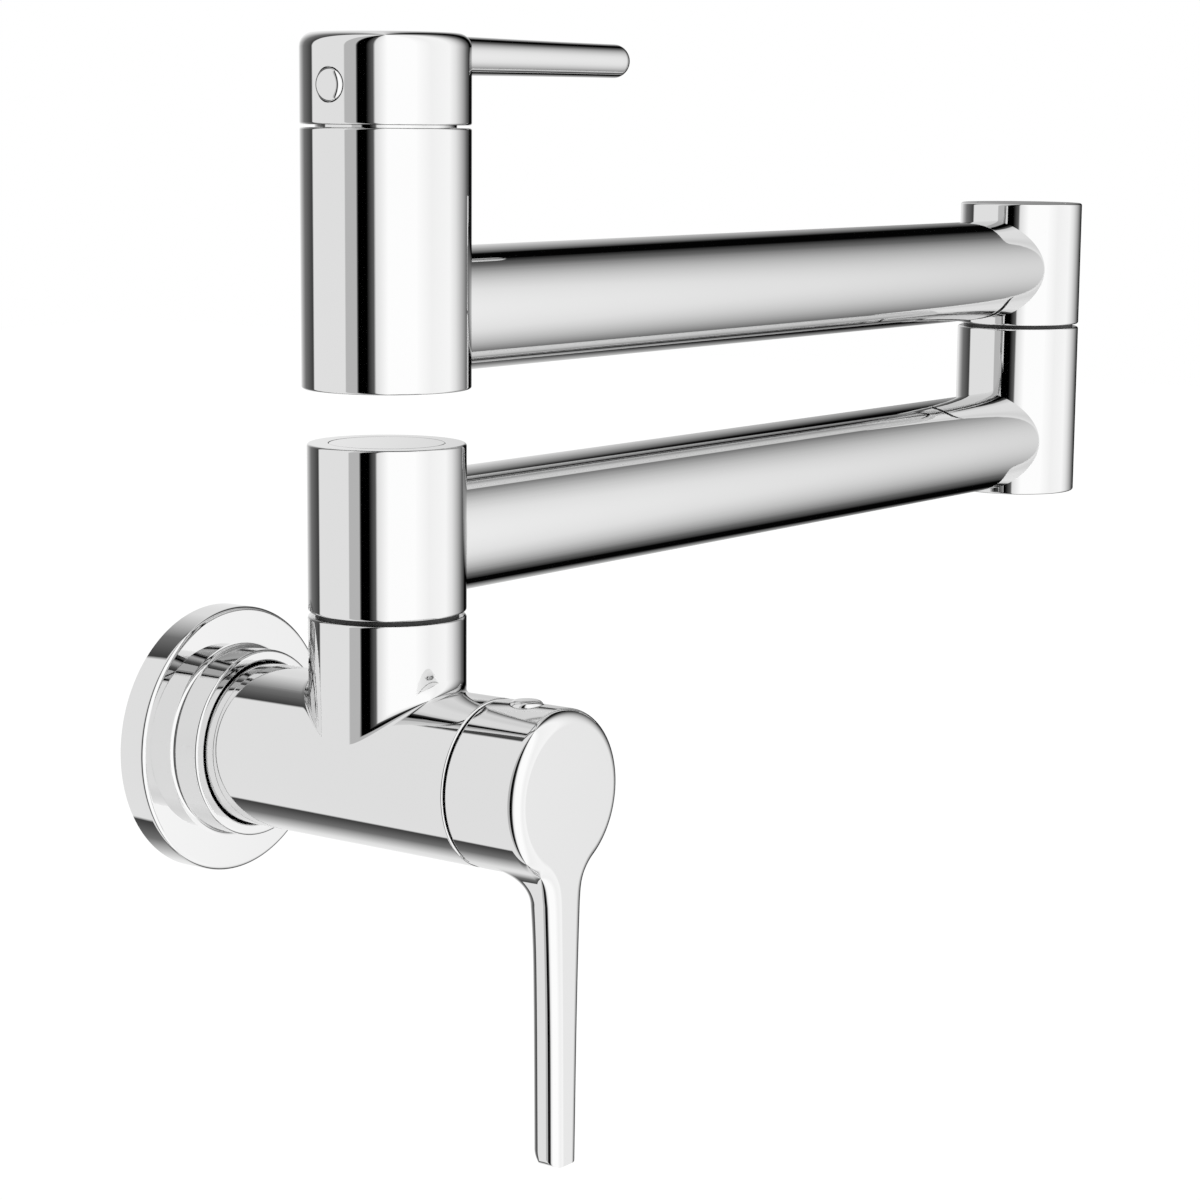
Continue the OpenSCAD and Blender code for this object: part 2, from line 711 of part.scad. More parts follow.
// Radius of the lever rod at a share of its way from the hub to the round tip
rod_steps = 10;
rod_flare_power = 1.6;
function rod_radius(share) = rod_tip_r + rod_flare / 2 * pow(1 - share, rod_flare_power);
rod_root_x = housing_r - handle_round;
rod_shoulder_x = rod_reach - rod_tip_r;
function rod_x(share) = rod_root_x + (rod_shoulder_x - rod_root_x) * share;

module outlet_lever_rod() {
    color(chrome) at_riser(outlet_top_z + handle_gap) {
        difference() {
            translate([0, 0, rod_rise]) rotate([0, 90, 0]) rotate_extrude() {
                polygon([
                    [0, rod_root_x],
                    for (i = [0:rod_steps]) [rod_radius(i / rod_steps), rod_x(i / rod_steps)],
                    [0, rod_shoulder_x]
                ]);
                intersection() {
                    translate([0, rod_shoulder_x]) circle(r = rod_tip_r);
                    translate([0, rod_shoulder_x]) square([rod_tip_d, rod_tip_d]);
                }
            }
            translate([0, 0, -solder_film])
                round_bar(housing_r + solder_film, handle_hub_len + 2 * solder_film, 0, handle_round);
        }
        translate([housing_r - rod_spigot_len + ring_side_play, 0, rod_rise]) rotate([0, 90, 0])
            cylinder(d = rod_spigot_d, h = rod_spigot_len + overrun);
    }
}

// Swivel spindle: screwed into the piece below, it carries a hub and leads the water up into it
module spindle(foot_z, hub_z, arm_z, hub_top_z) {
    ledge_z = hub_top_z - hub_ledge_drop;
    shoulder_z = ledge_z + end_play;
    difference() {
        union() {
            translate([0, 0, foot_z]) cylinder(d = spindle_foot_d, h = spindle_foot_len);
            translate([0, 0, foot_z]) cylinder(r = spindle_r, h = shoulder_z - foot_z);
            translate([0, 0, foot_z])
                cylinder(d = spindle_tip_d, h = shoulder_z + spindle_nut_h + end_play - foot_z);
        }
        translate([0, 0, foot_z - overrun])
            cylinder(d = spindle_bore_d, h = arm_z + water_ring_h / 2 - foot_z + overrun);
        for (turn = [0, 90]) rotate([0, 0, turn]) translate([-hub_r, 0, arm_z]) rotate([0, 90, 0])
            cylinder(d = spindle_port_d, h = hub_d);
        for (z = spindle_ring_z(hub_z, arm_z, ledge_z)) translate([0, 0, z])
            ring_groove(spindle_r + ring_fit, spindle_ring_t);
    }
}

// The two sealing rings lie half way along the bearing lengths below and above the ring of water
function spindle_ring_z(hub_z, arm_z, ledge_z) = [
    (hub_z + arm_z - water_ring_h / 2) / 2,
    (arm_z + water_ring_h / 2 + ledge_z) / 2
];

module spindle_rings(hub_z, arm_z, hub_top_z) {
    for (z = spindle_ring_z(hub_z, arm_z, hub_top_z - hub_ledge_drop)) translate([0, 0, z])
        seal_ring(spindle_r + ring_fit - spindle_ring_t, spindle_ring_t);
}

module thrust_washer() {
    ring(thrust_washer_d / 2, spindle_r + running_fit, swivel_gap - washer_play);
}

module spindle_nut(hub_top_z) {
    translate([0, 0, hub_top_z - hub_ledge_drop + end_play + ring_fit]) difference() {
        cylinder(d = spindle_nut_af / cos(30), h = spindle_nut_h, $fn = 6);
        translate([0, 0, -overrun])
            cylinder(r = spindle_tip_d / 2 + thread_fit, h = spindle_nut_h + 2 * overrun);
    }
}

// Swivel hub: turns on a spindle, with a ring of water that feeds one side port
module swivel_hub(h, arm_rise, port_turn) {
    ledge_z = h - hub_ledge_drop;
    difference() {
        round_bar(hub_r, h, hub_round, hub_round);
        translate([0, 0, -overrun]) cylinder(r = spindle_r + running_fit, h = h);
        translate([0, 0, arm_rise - water_ring_h / 2]) cylinder(r = water_ring_r, h = water_ring_h);
        rotate([0, 0, port_turn]) side_bore(side_port_d, hub_r, arm_rise);
        translate([0, 0, ledge_z]) cylinder(r = nut_well_r, h = nut_room + overrun);
        translate([0, 0, h - hub_cap_t]) cylinder(r = hub_cap_d / 2 + hub_cap_fit, h = hub_cap_t + overrun);
    }
}

module hub_cap() {
    cap_round = hub_cap_t / 8;
    translate([0, 0, -hub_cap_t + ring_fit]) round_bar(hub_cap_d / 2, hub_cap_t - ring_fit, 0, cap_round);
}

// Arm tube between two upright bodies, coped at both ends to sit on their round sides
module arm_tube(near_r, far_r) {
    difference() {
        rotate([0, 90, 0]) cylinder(r = tube_r, h = arm_reach);
        rotate([0, 90, 0]) cylinder(r = tube_r - tube_wall, h = arm_reach);
        translate([0, 0, -tube_d]) cylinder(r = near_r + solder_film, h = 2 * tube_d);
        translate([arm_reach, 0, -tube_d]) cylinder(r = far_r + solder_film, h = 2 * tube_d);
    }
}

// Shutoff valve and barrel
module shutoff_seat_seal() { color(black_rubber) from_wall(shutoff_seat_y) seat_seal(); }
module shutoff_fixed_disc() { color(ceramic) from_wall(shutoff_seat_y) fixed_disc(); }
module shutoff_cartridge() { color(raw_brass) from_wall(shutoff_seat_y) cartridge(); }
module shutoff_shoulder_ring() { color(black_rubber) from_wall(shutoff_seat_y) shoulder_ring(); }
module shutoff_clamp_ring() { color(chrome) from_wall(shutoff_seat_y) clamp_ring(); }
module shutoff_turning_disc() { color(ceramic) from_wall(shutoff_seat_y) turning_disc(); }
module shutoff_stem() { color(raw_brass) from_wall(shutoff_seat_y) stem(); }
module shutoff_stem_rings() { color(black_rubber) from_wall(shutoff_seat_y) stem_rings(); }
module shutoff_stem_clip() { color(steel) from_wall(shutoff_seat_y) stem_clip(); }
module shutoff_set_screw() { color(steel) from_wall(barrel_len) set_screw(shutoff_screw_rise); }
module shutoff_screw_cap() { color(chrome) from_wall(barrel_len) screw_cap(shutoff_screw_rise); }

// Swivel on the riser
module riser_spindle() {
    color(raw_brass) at_riser()
        spindle(riser_rise - spindle_foot_len, lower_hub_z, lower_arm_z, lower_hub_z + lower_hub_h);
}

module riser_spindle_rings() {
    color(black_rubber) at_riser() spindle_rings(lower_hub_z, lower_arm_z, lower_hub_z + lower_hub_h);
}

module riser_thrust_washer() { color(black_acetal) at_riser(riser_rise) thrust_washer(); }
module riser_spindle_nut() { color(raw_brass) at_riser() spindle_nut(lower_hub_z + lower_hub_h); }
module lower_hub() { color(chrome) at_riser(lower_hub_z) swivel_hub(lower_hub_h, lower_hub_skirt, 0); }
module lower_hub_cap() { color(chrome) at_riser(lower_hub_z + lower_hub_h) hub_cap(); }
module lower_arm_tube() { color(chrome) at_riser(lower_arm_z) arm_tube(hub_r, hub_r); }

// Elbow: the base is soldered to the lower arm and carries the spindle of the upper hub
module elbow_base() {
    color(chrome) at_elbow(elbow_base_z) difference() {
        round_bar(hub_r, elbow_base_h, hub_round, hub_round);
        translate([0, 0, elbow_floor_t]) cylinder(d = elbow_bore_d, h = elbow_base_h);
        translate([0, 0, elbow_base_h - spindle_foot_len])
            cylinder(r = spindle_foot_d / 2 + thread_fit, h = spindle_foot_len + overrun);
        rotate([0, 0, 180]) side_bore(side_port_d, hub_r, elbow_base_skirt);
    }
}

elbow_spindle_foot_z = elbow_base_z + elbow_base_h - spindle_foot_len;
elbow_top_end_z = elbow_top_z + elbow_top_h;

module elbow_spindle() {
    color(raw_brass) at_elbow() spindle(elbow_spindle_foot_z, elbow_top_z, upper_arm_z, elbow_top_end_z);
}

module elbow_spindle_rings() {
    color(black_rubber) at_elbow() spindle_rings(elbow_top_z, upper_arm_z, elbow_top_end_z);
}

module elbow_thrust_washer() { color(black_acetal) at_elbow(elbow_top_z - swivel_gap) thrust_washer(); }
module elbow_spindle_nut() { color(raw_brass) at_elbow() spindle_nut(elbow_top_end_z); }

module elbow_top_hub() {
    color(chrome) at_elbow(elbow_top_z) swivel_hub(elbow_top_h, elbow_top_skirt, 180);
}

module elbow_hub_cap() { color(chrome) at_elbow(elbow_top_end_z) hub_cap(); }
module upper_arm_tube() { color(chrome) at_riser(upper_arm_z) arm_tube(housing_r, hub_r); }

// Outlet body: the cartridge stands in it upright, over the aerator
aerator_well_h = aerator_recess + aerator_h + aerator_washer_t + ring_fit;

module outlet_body() {
    seat_z = outlet_seat_z - outlet_z;
    color(chrome) at_riser(outlet_z) difference() {
        round_bar(housing_r, outlet_h, housing_round, housing_round);
        translate([0, 0, -overrun]) cylinder(r = aerator_d / 2 + thread_fit, h = aerator_well_h + overrun);
        cylinder(d = waterway_d, h = seat_z + overrun);
        translate([0, 0, seat_z]) cartridge_bores();
        side_bore(waterway_d, housing_r, seat_z + outlet_port_rise);
    }
}

module outlet_seat_seal() { color(black_rubber) at_riser(outlet_seat_z) seat_seal(); }
module outlet_fixed_disc() { color(ceramic) at_riser(outlet_seat_z) fixed_disc(); }
module outlet_cartridge() { color(raw_brass) at_riser(outlet_seat_z) cartridge(); }
module outlet_shoulder_ring() { color(black_rubber) at_riser(outlet_seat_z) shoulder_ring(); }
module outlet_clamp_ring() { color(chrome) at_riser(outlet_seat_z) clamp_ring(); }
module outlet_turning_disc() { color(ceramic) at_riser(outlet_seat_z) turning_disc(); }
module outlet_stem() { color(raw_brass) at_riser(outlet_seat_z) stem(); }
module outlet_stem_rings() { color(black_rubber) at_riser(outlet_seat_z) stem_rings(); }
module outlet_stem_clip() { color(steel) at_riser(outlet_seat_z) stem_clip(); }
module outlet_set_screw() { color(steel) at_riser(outlet_top_z) set_screw(outlet_screw_rise); }
module outlet_screw_cap() { color(chrome) at_riser(outlet_top_z) screw_cap(outlet_screw_rise); }

// Aerator: a threaded housing with a lip that holds the insert, under a washer
aerator_lip = aerator_wall / 2;
aerator_inner_r = aerator_d / 2 - aerator_wall;

module aerator_housing() {
    color(chrome) at_riser(outlet_z + aerator_recess) difference() {
        cylinder(d = aerator_d, h = aerator_h);
        translate([0, 0, -overrun])
            cylinder(r = aerator_inner_r - aerator_lip, h = aerator_h + 2 * overrun);
        translate([0, 0, aerator_lip]) cylinder(r = aerator_inner_r, h = aerator_h);
    }
}

// Centres of the jets: rings of 6, 12 and so on around the middle one
insert_r = aerator_inner_r - thread_fit;
insert_h = aerator_h - aerator_lip - ring_fit;
jet_rings = floor((insert_r - aerator_lip - jet_d) / jet_pitch);

module aerator_insert() {
    color(grey_nylon) at_riser(outlet_z + aerator_recess + aerator_lip + ring_fit)
        linear_extrude(insert_h) difference() {
            circle(r = insert_r);
            circle(d = jet_d);
            for (k = [1:jet_rings]) for (i = [0:6 * k - 1]) rotate([0, 0, i * 60 / k])
                translate([k * jet_pitch, 0]) circle(d = jet_d, $fn = 16);
        }
}

module aerator_washer() {
    color(black_rubber) at_riser(outlet_z + aerator_recess + aerator_h)
        ring(aerator_d / 2 - thread_fit, aerator_d / 2 - 2 * aerator_wall, aerator_washer_t);
}

wall_flange();
flange_gasket();
flange_grip_ring();
valve_body();
shutoff_seat_seal();
shutoff_fixed_disc();
shutoff_cartridge();
shutoff_shoulder_ring();
shutoff_clamp_ring();
shutoff_turning_disc();
shutoff_stem();
shutoff_stem_rings();
shutoff_stem_clip();
shutoff_handle();
shutoff_set_screw();
shutoff_screw_cap();
riser_spindle();
riser_spindle_rings();
riser_thrust_washer();
riser_spindle_nut();
lower_hub();
lower_hub_cap();
lower_arm_tube();
elbow_base();
elbow_spindle();
elbow_spindle_rings();
elbow_thrust_washer();
elbow_spindle_nut();
elbow_top_hub();
elbow_hub_cap();
upper_arm_tube();
outlet_body();
outlet_seat_seal();
outlet_fixed_disc();
outlet_cartridge();
outlet_shoulder_ring();
outlet_clamp_ring();
outlet_turning_disc();
outlet_stem();
outlet_stem_rings();
outlet_stem_clip();
outlet_handle_hub();
outlet_lever_rod();
outlet_set_screw();
outlet_screw_cap();
aerator_housing();
aerator_insert();
aerator_washer();
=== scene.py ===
"""Looks of a wall mounted pot filler: chrome pieces turned and cut at their real size, plain
finishes for what lies inside, a photographer's studio of cards and flags, a floor and a camera.

Sizes are in millimetres, angles in degrees. A mesh is scaled to metres when it is placed.
"""

import json
import logging
import math
from dataclasses import dataclass, field
from enum import Enum
from typing import Callable, Iterable, Optional, Sequence, Union

import bmesh
import bpy
from mathutils import Matrix, Vector


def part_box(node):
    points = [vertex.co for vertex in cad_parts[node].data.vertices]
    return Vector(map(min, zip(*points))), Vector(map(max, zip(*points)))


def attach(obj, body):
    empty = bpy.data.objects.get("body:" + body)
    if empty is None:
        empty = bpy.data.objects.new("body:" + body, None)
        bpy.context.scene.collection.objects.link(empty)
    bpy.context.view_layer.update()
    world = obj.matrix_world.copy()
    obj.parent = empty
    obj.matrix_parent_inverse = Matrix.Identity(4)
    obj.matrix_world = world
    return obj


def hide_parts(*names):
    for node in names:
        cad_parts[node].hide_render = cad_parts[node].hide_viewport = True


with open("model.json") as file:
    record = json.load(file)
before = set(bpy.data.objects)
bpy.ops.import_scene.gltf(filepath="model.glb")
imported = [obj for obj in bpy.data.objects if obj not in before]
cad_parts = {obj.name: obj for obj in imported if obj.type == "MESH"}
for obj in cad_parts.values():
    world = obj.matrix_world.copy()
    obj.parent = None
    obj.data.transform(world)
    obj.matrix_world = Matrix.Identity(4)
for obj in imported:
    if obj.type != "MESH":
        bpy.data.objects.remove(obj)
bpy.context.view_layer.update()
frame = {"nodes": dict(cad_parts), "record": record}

log = logging.getLogger("pot_filler")
BMesh = bmesh.types.BMesh

MM = 0.001
ROUND_STEPS = 256     # facets round a hub, a tube or the flange
SLIM_STEPS = 128      # facets round a rod or a screw cap
PORT_STEPS = 96       # facets round a bored hole
ARC_STEPS = 6         # steps to a quarter turn of a rounding
SMOOTH_ANGLE = 24.0   # edges flatter than this are shaded smooth
EVEN_WEIGHT = 50      # faces count by their area alone in a weighted normal
OVERRUN = 1.0         # how far a cutter runs past what it cuts
HAIR = 0.002          # a distance that doesn't show
WELD = 0.0002         # corners of a turned piece that are nearer than this are one
GRAIN_SPREAD = 12     # how much broader a finish's patches are than its grain
NOISE_DETAIL = 3.0    # octaves in the noise of a finish
WHITE_LEVEL = 255     # the grey level of white
SRGB_KNEE, SRGB_SLOPE, SRGB_LIFT, SRGB_POWER = 0.04045, 12.92, 0.055, 2.4


class Axis(Enum):
    """Where a piece's own z axis points in the row frame, and where its own x axis then lies."""

    UP = ((1, 0, 0), (0, 1, 0), (0, 0, 1))
    OUT = ((0, 0, -1), (1, 0, 0), (0, -1, 0))
    BACK = ((0, 0, 1), (0, 1, 0), (-1, 0, 0))

    @property
    def turn(self) -> Matrix:
        """The rotation from the piece's own frame to the row frame."""
        return Matrix(self.value).transposed().to_4x4()

    def matrix(self, place: Vector) -> Matrix:
        """Takes a mesh in millimetres, with its origin at place, to the row frame in metres."""
        return Matrix.Scale(MM, 4) @ Matrix.Translation(place) @ self.turn


class Join(Enum):
    """How one solid is set against another."""

    ADD = "UNION"
    CUT = "DIFFERENCE"


@dataclass(frozen=True)
class Corner:
    """One corner of a turned profile."""

    r: float
    z: float
    rounding: float = 0.0


@dataclass(frozen=True)
class Span:
    """The box of a CAD node, in millimetres."""

    lo: Vector
    hi: Vector

    @classmethod
    def of(cls, node: str) -> "Span":
        """The span of the CAD node of that name."""
        low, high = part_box(node)
        return cls(low / MM, high / MM)

    @property
    def middle(self) -> Vector:
        """The centre of the box."""
        return (self.lo + self.hi) / 2

    @property
    def size(self) -> Vector:
        """The box's three lengths."""
        return self.hi - self.lo

    @property
    def foot(self) -> Vector:
        """The centre of the box's lower face."""
        return Vector((self.middle.x, self.middle.y, self.lo.z))


def rounded(corners: Sequence[Corner], closed: bool) -> list[Vector]:
    """The points of a profile, with each corner's rounding as a true arc.

    Args:
        corners: the profile's corners, in order.
        closed: whether the last corner is joined to the first.

    Returns:
        The profile's points in the plane of r and z.
    """
    points: list[Vector] = []
    count = len(corners)
    for i, corner in enumerate(corners):
        here = Vector((corner.r, corner.z))
        ends = closed or 0 < i < count - 1
        if corner.rounding <= 0 or not ends:
            points.append(here)
            continue
        before, after = corners[i - 1], corners[(i + 1) % count]
        back = (Vector((before.r, before.z)) - here).normalized()
        on = (Vector((after.r, after.z)) - here).normalized()
        half = back.angle(on) / 2
        centre = here + (back + on).normalized() * corner.rounding / math.sin(half)
        start = here + back * corner.rounding / math.tan(half) - centre
        end = here + on * corner.rounding / math.tan(half) - centre
        turned = start.angle(end)
        steps = max(2, round(ARC_STEPS * turned / (math.pi / 2)))
        for k in range(steps + 1):
            share = k / steps
            first = math.sin((1 - share) * turned) / math.sin(turned)
            second = math.sin(share * turned) / math.sin(turned)
            points.append(centre + start * first + end * second)
    return points


def turn(corners: Sequence[Corner], steps: int = ROUND_STEPS) -> BMesh:
    """A solid of revolution about z. A profile that starts on the axis also ends on it.

    Args:
        corners: the profile's corners.
        steps: how many facets go round.

    Returns:
        The new mesh.
    """
    on_axis = corners[0].r == 0
    points = rounded(corners, closed=not on_axis)
    return spin(points, steps, closed=not on_axis)


def spin(points: Sequence[Vector], steps: int, closed: bool) -> BMesh:
    """Spins a profile once round the z axis.

    Args:
        points: the profile in the plane of r and z.
        steps: how many facets go round.
        closed: whether the profile is a closed loop beside the axis.

    Returns:
        The new mesh.
    """
    bm = bmesh.new()
    verts = [bm.verts.new((p.x, 0, p.y)) for p in points]
    pairs = list(zip(verts, verts[1:])) + ([(verts[-1], verts[0])] if closed else [])
    edges = [bm.edges.new(pair) for pair in pairs]
    bmesh.ops.spin(bm, geom=verts + edges, axis=(0, 0, 1), cent=(0, 0, 0),
                   steps=steps, angle=math.tau, use_merge=True, use_duplicate=False)
    bmesh.ops.remove_doubles(bm, verts=bm.verts, dist=WELD)
    bmesh.ops.recalc_face_normals(bm, faces=bm.faces)
    return bm


def rod(radius: float, low: float, high: float, rounding: float = 0.0,
        steps: int = ROUND_STEPS) -> BMesh:
    """A round bar on the z axis, from low to high, with its upper edge rounded."""
    return turn([Corner(0, low), Corner(radius, low), Corner(radius, high, rounding),
                 Corner(0, high)], steps)


def polar(radius: float, angle: float) -> Vector:
    """The point of a plane at that radius and angle in radians."""
    return Vector((math.cos(angle), math.sin(angle))) * radius


def moved(bm: BMesh, matrix: Matrix) -> BMesh:
    """The same mesh after a transform, in the piece's own frame."""
    bmesh.ops.transform(bm, matrix=matrix, verts=bm.verts)
    return bm


def sideways(bm: BMesh, z: float, towards: float = 1) -> BMesh:
    """Lays a mesh that stands on the z axis along x instead, at the height z."""
    tilt = Matrix.Rotation(math.radians(90 * towards), 4, "Y")
    return moved(bm, Matrix.Translation((0, 0, z)) @ tilt)


def linked(name: str, bm: BMesh) -> bpy.types.Object:
    """A new object of the scene, made of a mesh that is used up."""
    mesh = bpy.data.meshes.new(name)
    bm.to_mesh(mesh)
    bm.free()
    made = bpy.data.objects.new(name, mesh)
    bpy.context.scene.collection.objects.link(made)
    return made


class Blank:
    """A piece on the bench, in its own frame: solids are set against it until it is placed."""

    def __init__(self, name: str, bm: BMesh) -> None:
        """Starts the piece from its first solid, which is used up."""
        self.name = name
        self.object = linked(name, bm)

    def _apply(self) -> None:
        """Bakes the object's modifiers into its mesh."""
        graph = bpy.context.evaluated_depsgraph_get()
        baked = bpy.data.meshes.new_from_object(self.object.evaluated_get(graph))
        self.object.modifiers.clear()
        old, self.object.data = self.object.data, baked
        bpy.data.meshes.remove(old)

    def set(self, join: Join, bm: BMesh) -> "Blank":
        """Adds a solid to the piece, or cuts it out.

        Args:
            join: which of the two.
            bm: the solid, which is used up.

        Returns:
            The blank itself.
        """
        tool = linked(self.name + "_tool", bm)
        modifier = self.object.modifiers.new("set", "BOOLEAN")
        modifier.operation = join.value
        modifier.solver = "EXACT"
        modifier.object = tool
        self._apply()
        mesh = tool.data
        bpy.data.objects.remove(tool)
        bpy.data.meshes.remove(mesh)
        return self

    def place(self, axis: Axis, place: Vector, body: str, finish: "Finish",
              replaces: Sequence[str]) -> None:
        """Moves the piece to its place and dresses it.

        Args:
            axis: where its own axis points.
            place: where its own origin lies.
            body: the CAD body that it rides on.
            finish: its finish.
            replaces: the CAD nodes that it stands for.
        """
        mesh = self.object.data
        mesh.transform(axis.matrix(place))
        mesh.shade_smooth()
        mesh.set_sharp_from_angle(angle=math.radians(SMOOTH_ANGLE))
        weights = self.object.modifiers.new("weights", "WEIGHTED_NORMAL")
        weights.mode = "FACE_AREA"
        weights.weight = EVEN_WEIGHT
        weights.keep_sharp = True
        self._apply()
        self.object.data.materials.clear()
        self.object.data.materials.append(finish.material())
        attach(self.object, body)
        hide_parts(*replaces)
        log.info("%s rides on %s, %d faces", self.name, body, len(self.object.data.polygons))


Number = Union["Value", float]


class Value:
    """A number in a shader, which Python's arithmetic adds Math nodes to."""

    def __init__(self, shader: "Shader", socket: bpy.types.NodeSocket) -> None:
        """Wraps an output socket of the shader's tree."""
        self.shader = shader
        self.socket = socket

    def beside(self, output: str) -> "Value":
        """Another output of the same node."""
        return Value(self.shader, self.socket.node.outputs[output])

    def math(self, operation: str, *others: Number) -> "Value":
        """A Math node of this value and others."""
        values = dict(enumerate((self, *others)))
        return self.shader.node("ShaderNodeMath", {"operation": operation}, values)

    def __add__(self, other: Number) -> "Value":
        """This value plus another."""
        return self.math("ADD", other)

    def __mul__(self, other: Number) -> "Value":
        """This value times another."""
        return self.math("MULTIPLY", other)

    def __truediv__(self, other: Number) -> "Value":
        """This value divided by another."""
        return self.math("DIVIDE", other)


class Shader:
    """The node tree of a material or world, with one method that adds any node."""

    def __init__(self, owner: Union[bpy.types.Material, bpy.types.World]) -> None:
        """Empties the owner's tree and keeps it."""
        owner.use_nodes = True
        self.tree = owner.node_tree
        self.tree.nodes.clear()

    def node(self, kind: str, settings: Optional[dict] = None,
             sockets: Optional[dict] = None, output: Union[int, str] = 0) -> Value:
        """Adds a node.

        Args:
            kind: the node's type.
            settings: its properties, which are set first. The stops of a ramp are pairs of a
                place and a grey level.
            sockets: values or links for its inputs, by name or number.
            output: which of its outputs is wanted.

        Returns:
            That output, or the first input where the node has no output.
        """
        made = self.tree.nodes.new(kind)
        for key, value in (settings or {}).items():
            if key == "stops":
                self._stops(made.color_ramp, value)
            else:
                setattr(made, key, value)
        for key, value in (sockets or {}).items():
            self._feed(made.inputs[key], value)
        return Value(self, made.outputs[output] if made.outputs else made.inputs[0])

    def _feed(self, socket: bpy.types.NodeSocket, value: Union[Value, float, tuple]) -> None:
        """Links a value to a socket, or sets a number or a colour on it."""
        if isinstance(value, Value):
            self.tree.links.new(value.socket, socket)
        else:
            socket.default_value = value

    @staticmethod
    def _stops(ramp: bpy.types.ColorRamp, stops: Sequence[tuple[float, float]]) -> None:
        """Sets the stops of a ramp of greys."""
        while len(ramp.elements) < len(stops):
            ramp.elements.new(1.0)
        for element, (place, level) in zip(ramp.elements, stops):
            element.position = place
            element.color = (level, level, level, 1.0)

    def noise(self, scale: float) -> Value:
        """Noise on the piece's own coordinates, with scale features to the metre."""
        place = self.node("ShaderNodeTexCoord", output="Object")
        return self.node("ShaderNodeTexNoise", {},
                         {"Vector": place, "Scale": scale, "Detail": NOISE_DETAIL})

    def bump(self, height: Value, distance: float) -> Value:
        """A bump of that height, whose full depth is distance in metres."""
        return self.node("ShaderNodeBump", {}, {"Height": height, "Distance": distance})

    def mix(self, share: Value, first: Sequence[float], second: Sequence[float]) -> Value:
        """A colour between two, by a share."""
        return self.node("ShaderNodeMix", {"data_type": "RGBA"},
                         {"Factor": share, "A": (*first, 1.0), "B": (*second, 1.0)}, output=2)


@dataclass(frozen=True)
class Finish:
    """The finish of a material slot of the record, with its grain at the right scale."""

    slot: str
    dark: tuple[float, float, float]
    light: tuple[float, float, float]
    roughness: tuple[float, float]
    grain: float
    depth: float
    metallic: float = 0.0
    coat: float = 0.0

    def material(self) -> bpy.types.Material:
        """The finish's material, which is made once."""
        name = self.slot + "_finish"
        known = bpy.data.materials.get(name)
        if known:
            return known
        material = bpy.data.materials.new(name)
        shader = Shader(material)
        fine = shader.noise(self.grain)
        broad = shader.noise(self.grain / GRAIN_SPREAD)
        low, high = self.roughness
        sockets = {
            "Base Color": shader.mix(broad, self.dark, self.light),
            "Roughness": (fine + broad) * ((high - low) / 2) + low,
            "Metallic": self.metallic,
            "Coat Weight": self.coat,
            "Normal": shader.bump(fine, self.depth),
        }
        surface = shader.node("ShaderNodeBsdfPrincipled", {}, sockets)
        shader.node("ShaderNodeOutputMaterial", {}, {"Surface": surface})
        return material


CHROME = Finish("polished_chrome", (0.69, 0.69, 0.69), (0.71, 0.71, 0.71), (0.012, 0.03),
                grain=260, depth=0.000001, metallic=1.0)
BRASS = Finish("raw_brass", (0.66, 0.47, 0.20), (0.80, 0.61, 0.30), (0.22, 0.40),
               grain=1500, depth=0.00002, metallic=1.0)
RUBBER = Finish("black_rubber", (0.012, 0.012, 0.013), (0.03, 0.03, 0.032), (0.55, 0.8),
                grain=2500, depth=0.00003)
CERAMIC = Finish("white_ceramic", (0.84, 0.83, 0.80), (0.90, 0.89, 0.87), (0.12, 0.25),
                 grain=1800, depth=0.000004, coat=0.3)
STEEL = Finish("stainless_steel", (0.50, 0.51, 0.53), (0.62, 0.63, 0.65), (0.2, 0.38),
               grain=1800, depth=0.00001, metallic=1.0)
# Painted shade: the thrust washers in the swivel gaps get this near-black finish so that the gaps
# render as dark shade lines.
ACETAL_BLACK_AS_GAP_SHADE = Finish("black_acetal", (0.012, 0.012, 0.012), (0.020, 0.020, 0.020), (0.35, 0.5),
                grain=1500, depth=0.000008)
FOAM = Finish("grey_foam", (0.07, 0.075, 0.08), (0.14, 0.145, 0.155), (0.8, 0.95),
              grain=1600, depth=0.00025)
NYLON = Finish("grey_nylon", (0.25, 0.27, 0.30), (0.33, 0.35, 0.38), (0.4, 0.55),
               grain=1200, depth=0.00001)
FINISHES = (CHROME, BRASS, RUBBER, CERAMIC, STEEL, ACETAL_BLACK_AS_GAP_SHADE, FOAM, NYLON)


def stand(node: str, body: str, bm: BMesh, port: Optional[BMesh] = None) -> None:
    """Bores the side of an upright chrome piece and stands it where its CAD node stands.

    Args:
        node: the CAD node that it stands for.
        body: the CAD body that it rides on.
        bm: the turned piece, with its foot at z = 0.
        port: the solid that bores its side.
    """
    blank = Blank(node + "_turned", bm)
    if port is not None:
        blank.set(Join.CUT, port)
    blank.place(Axis.UP, Span.of(node).foot, body, CHROME, [node])


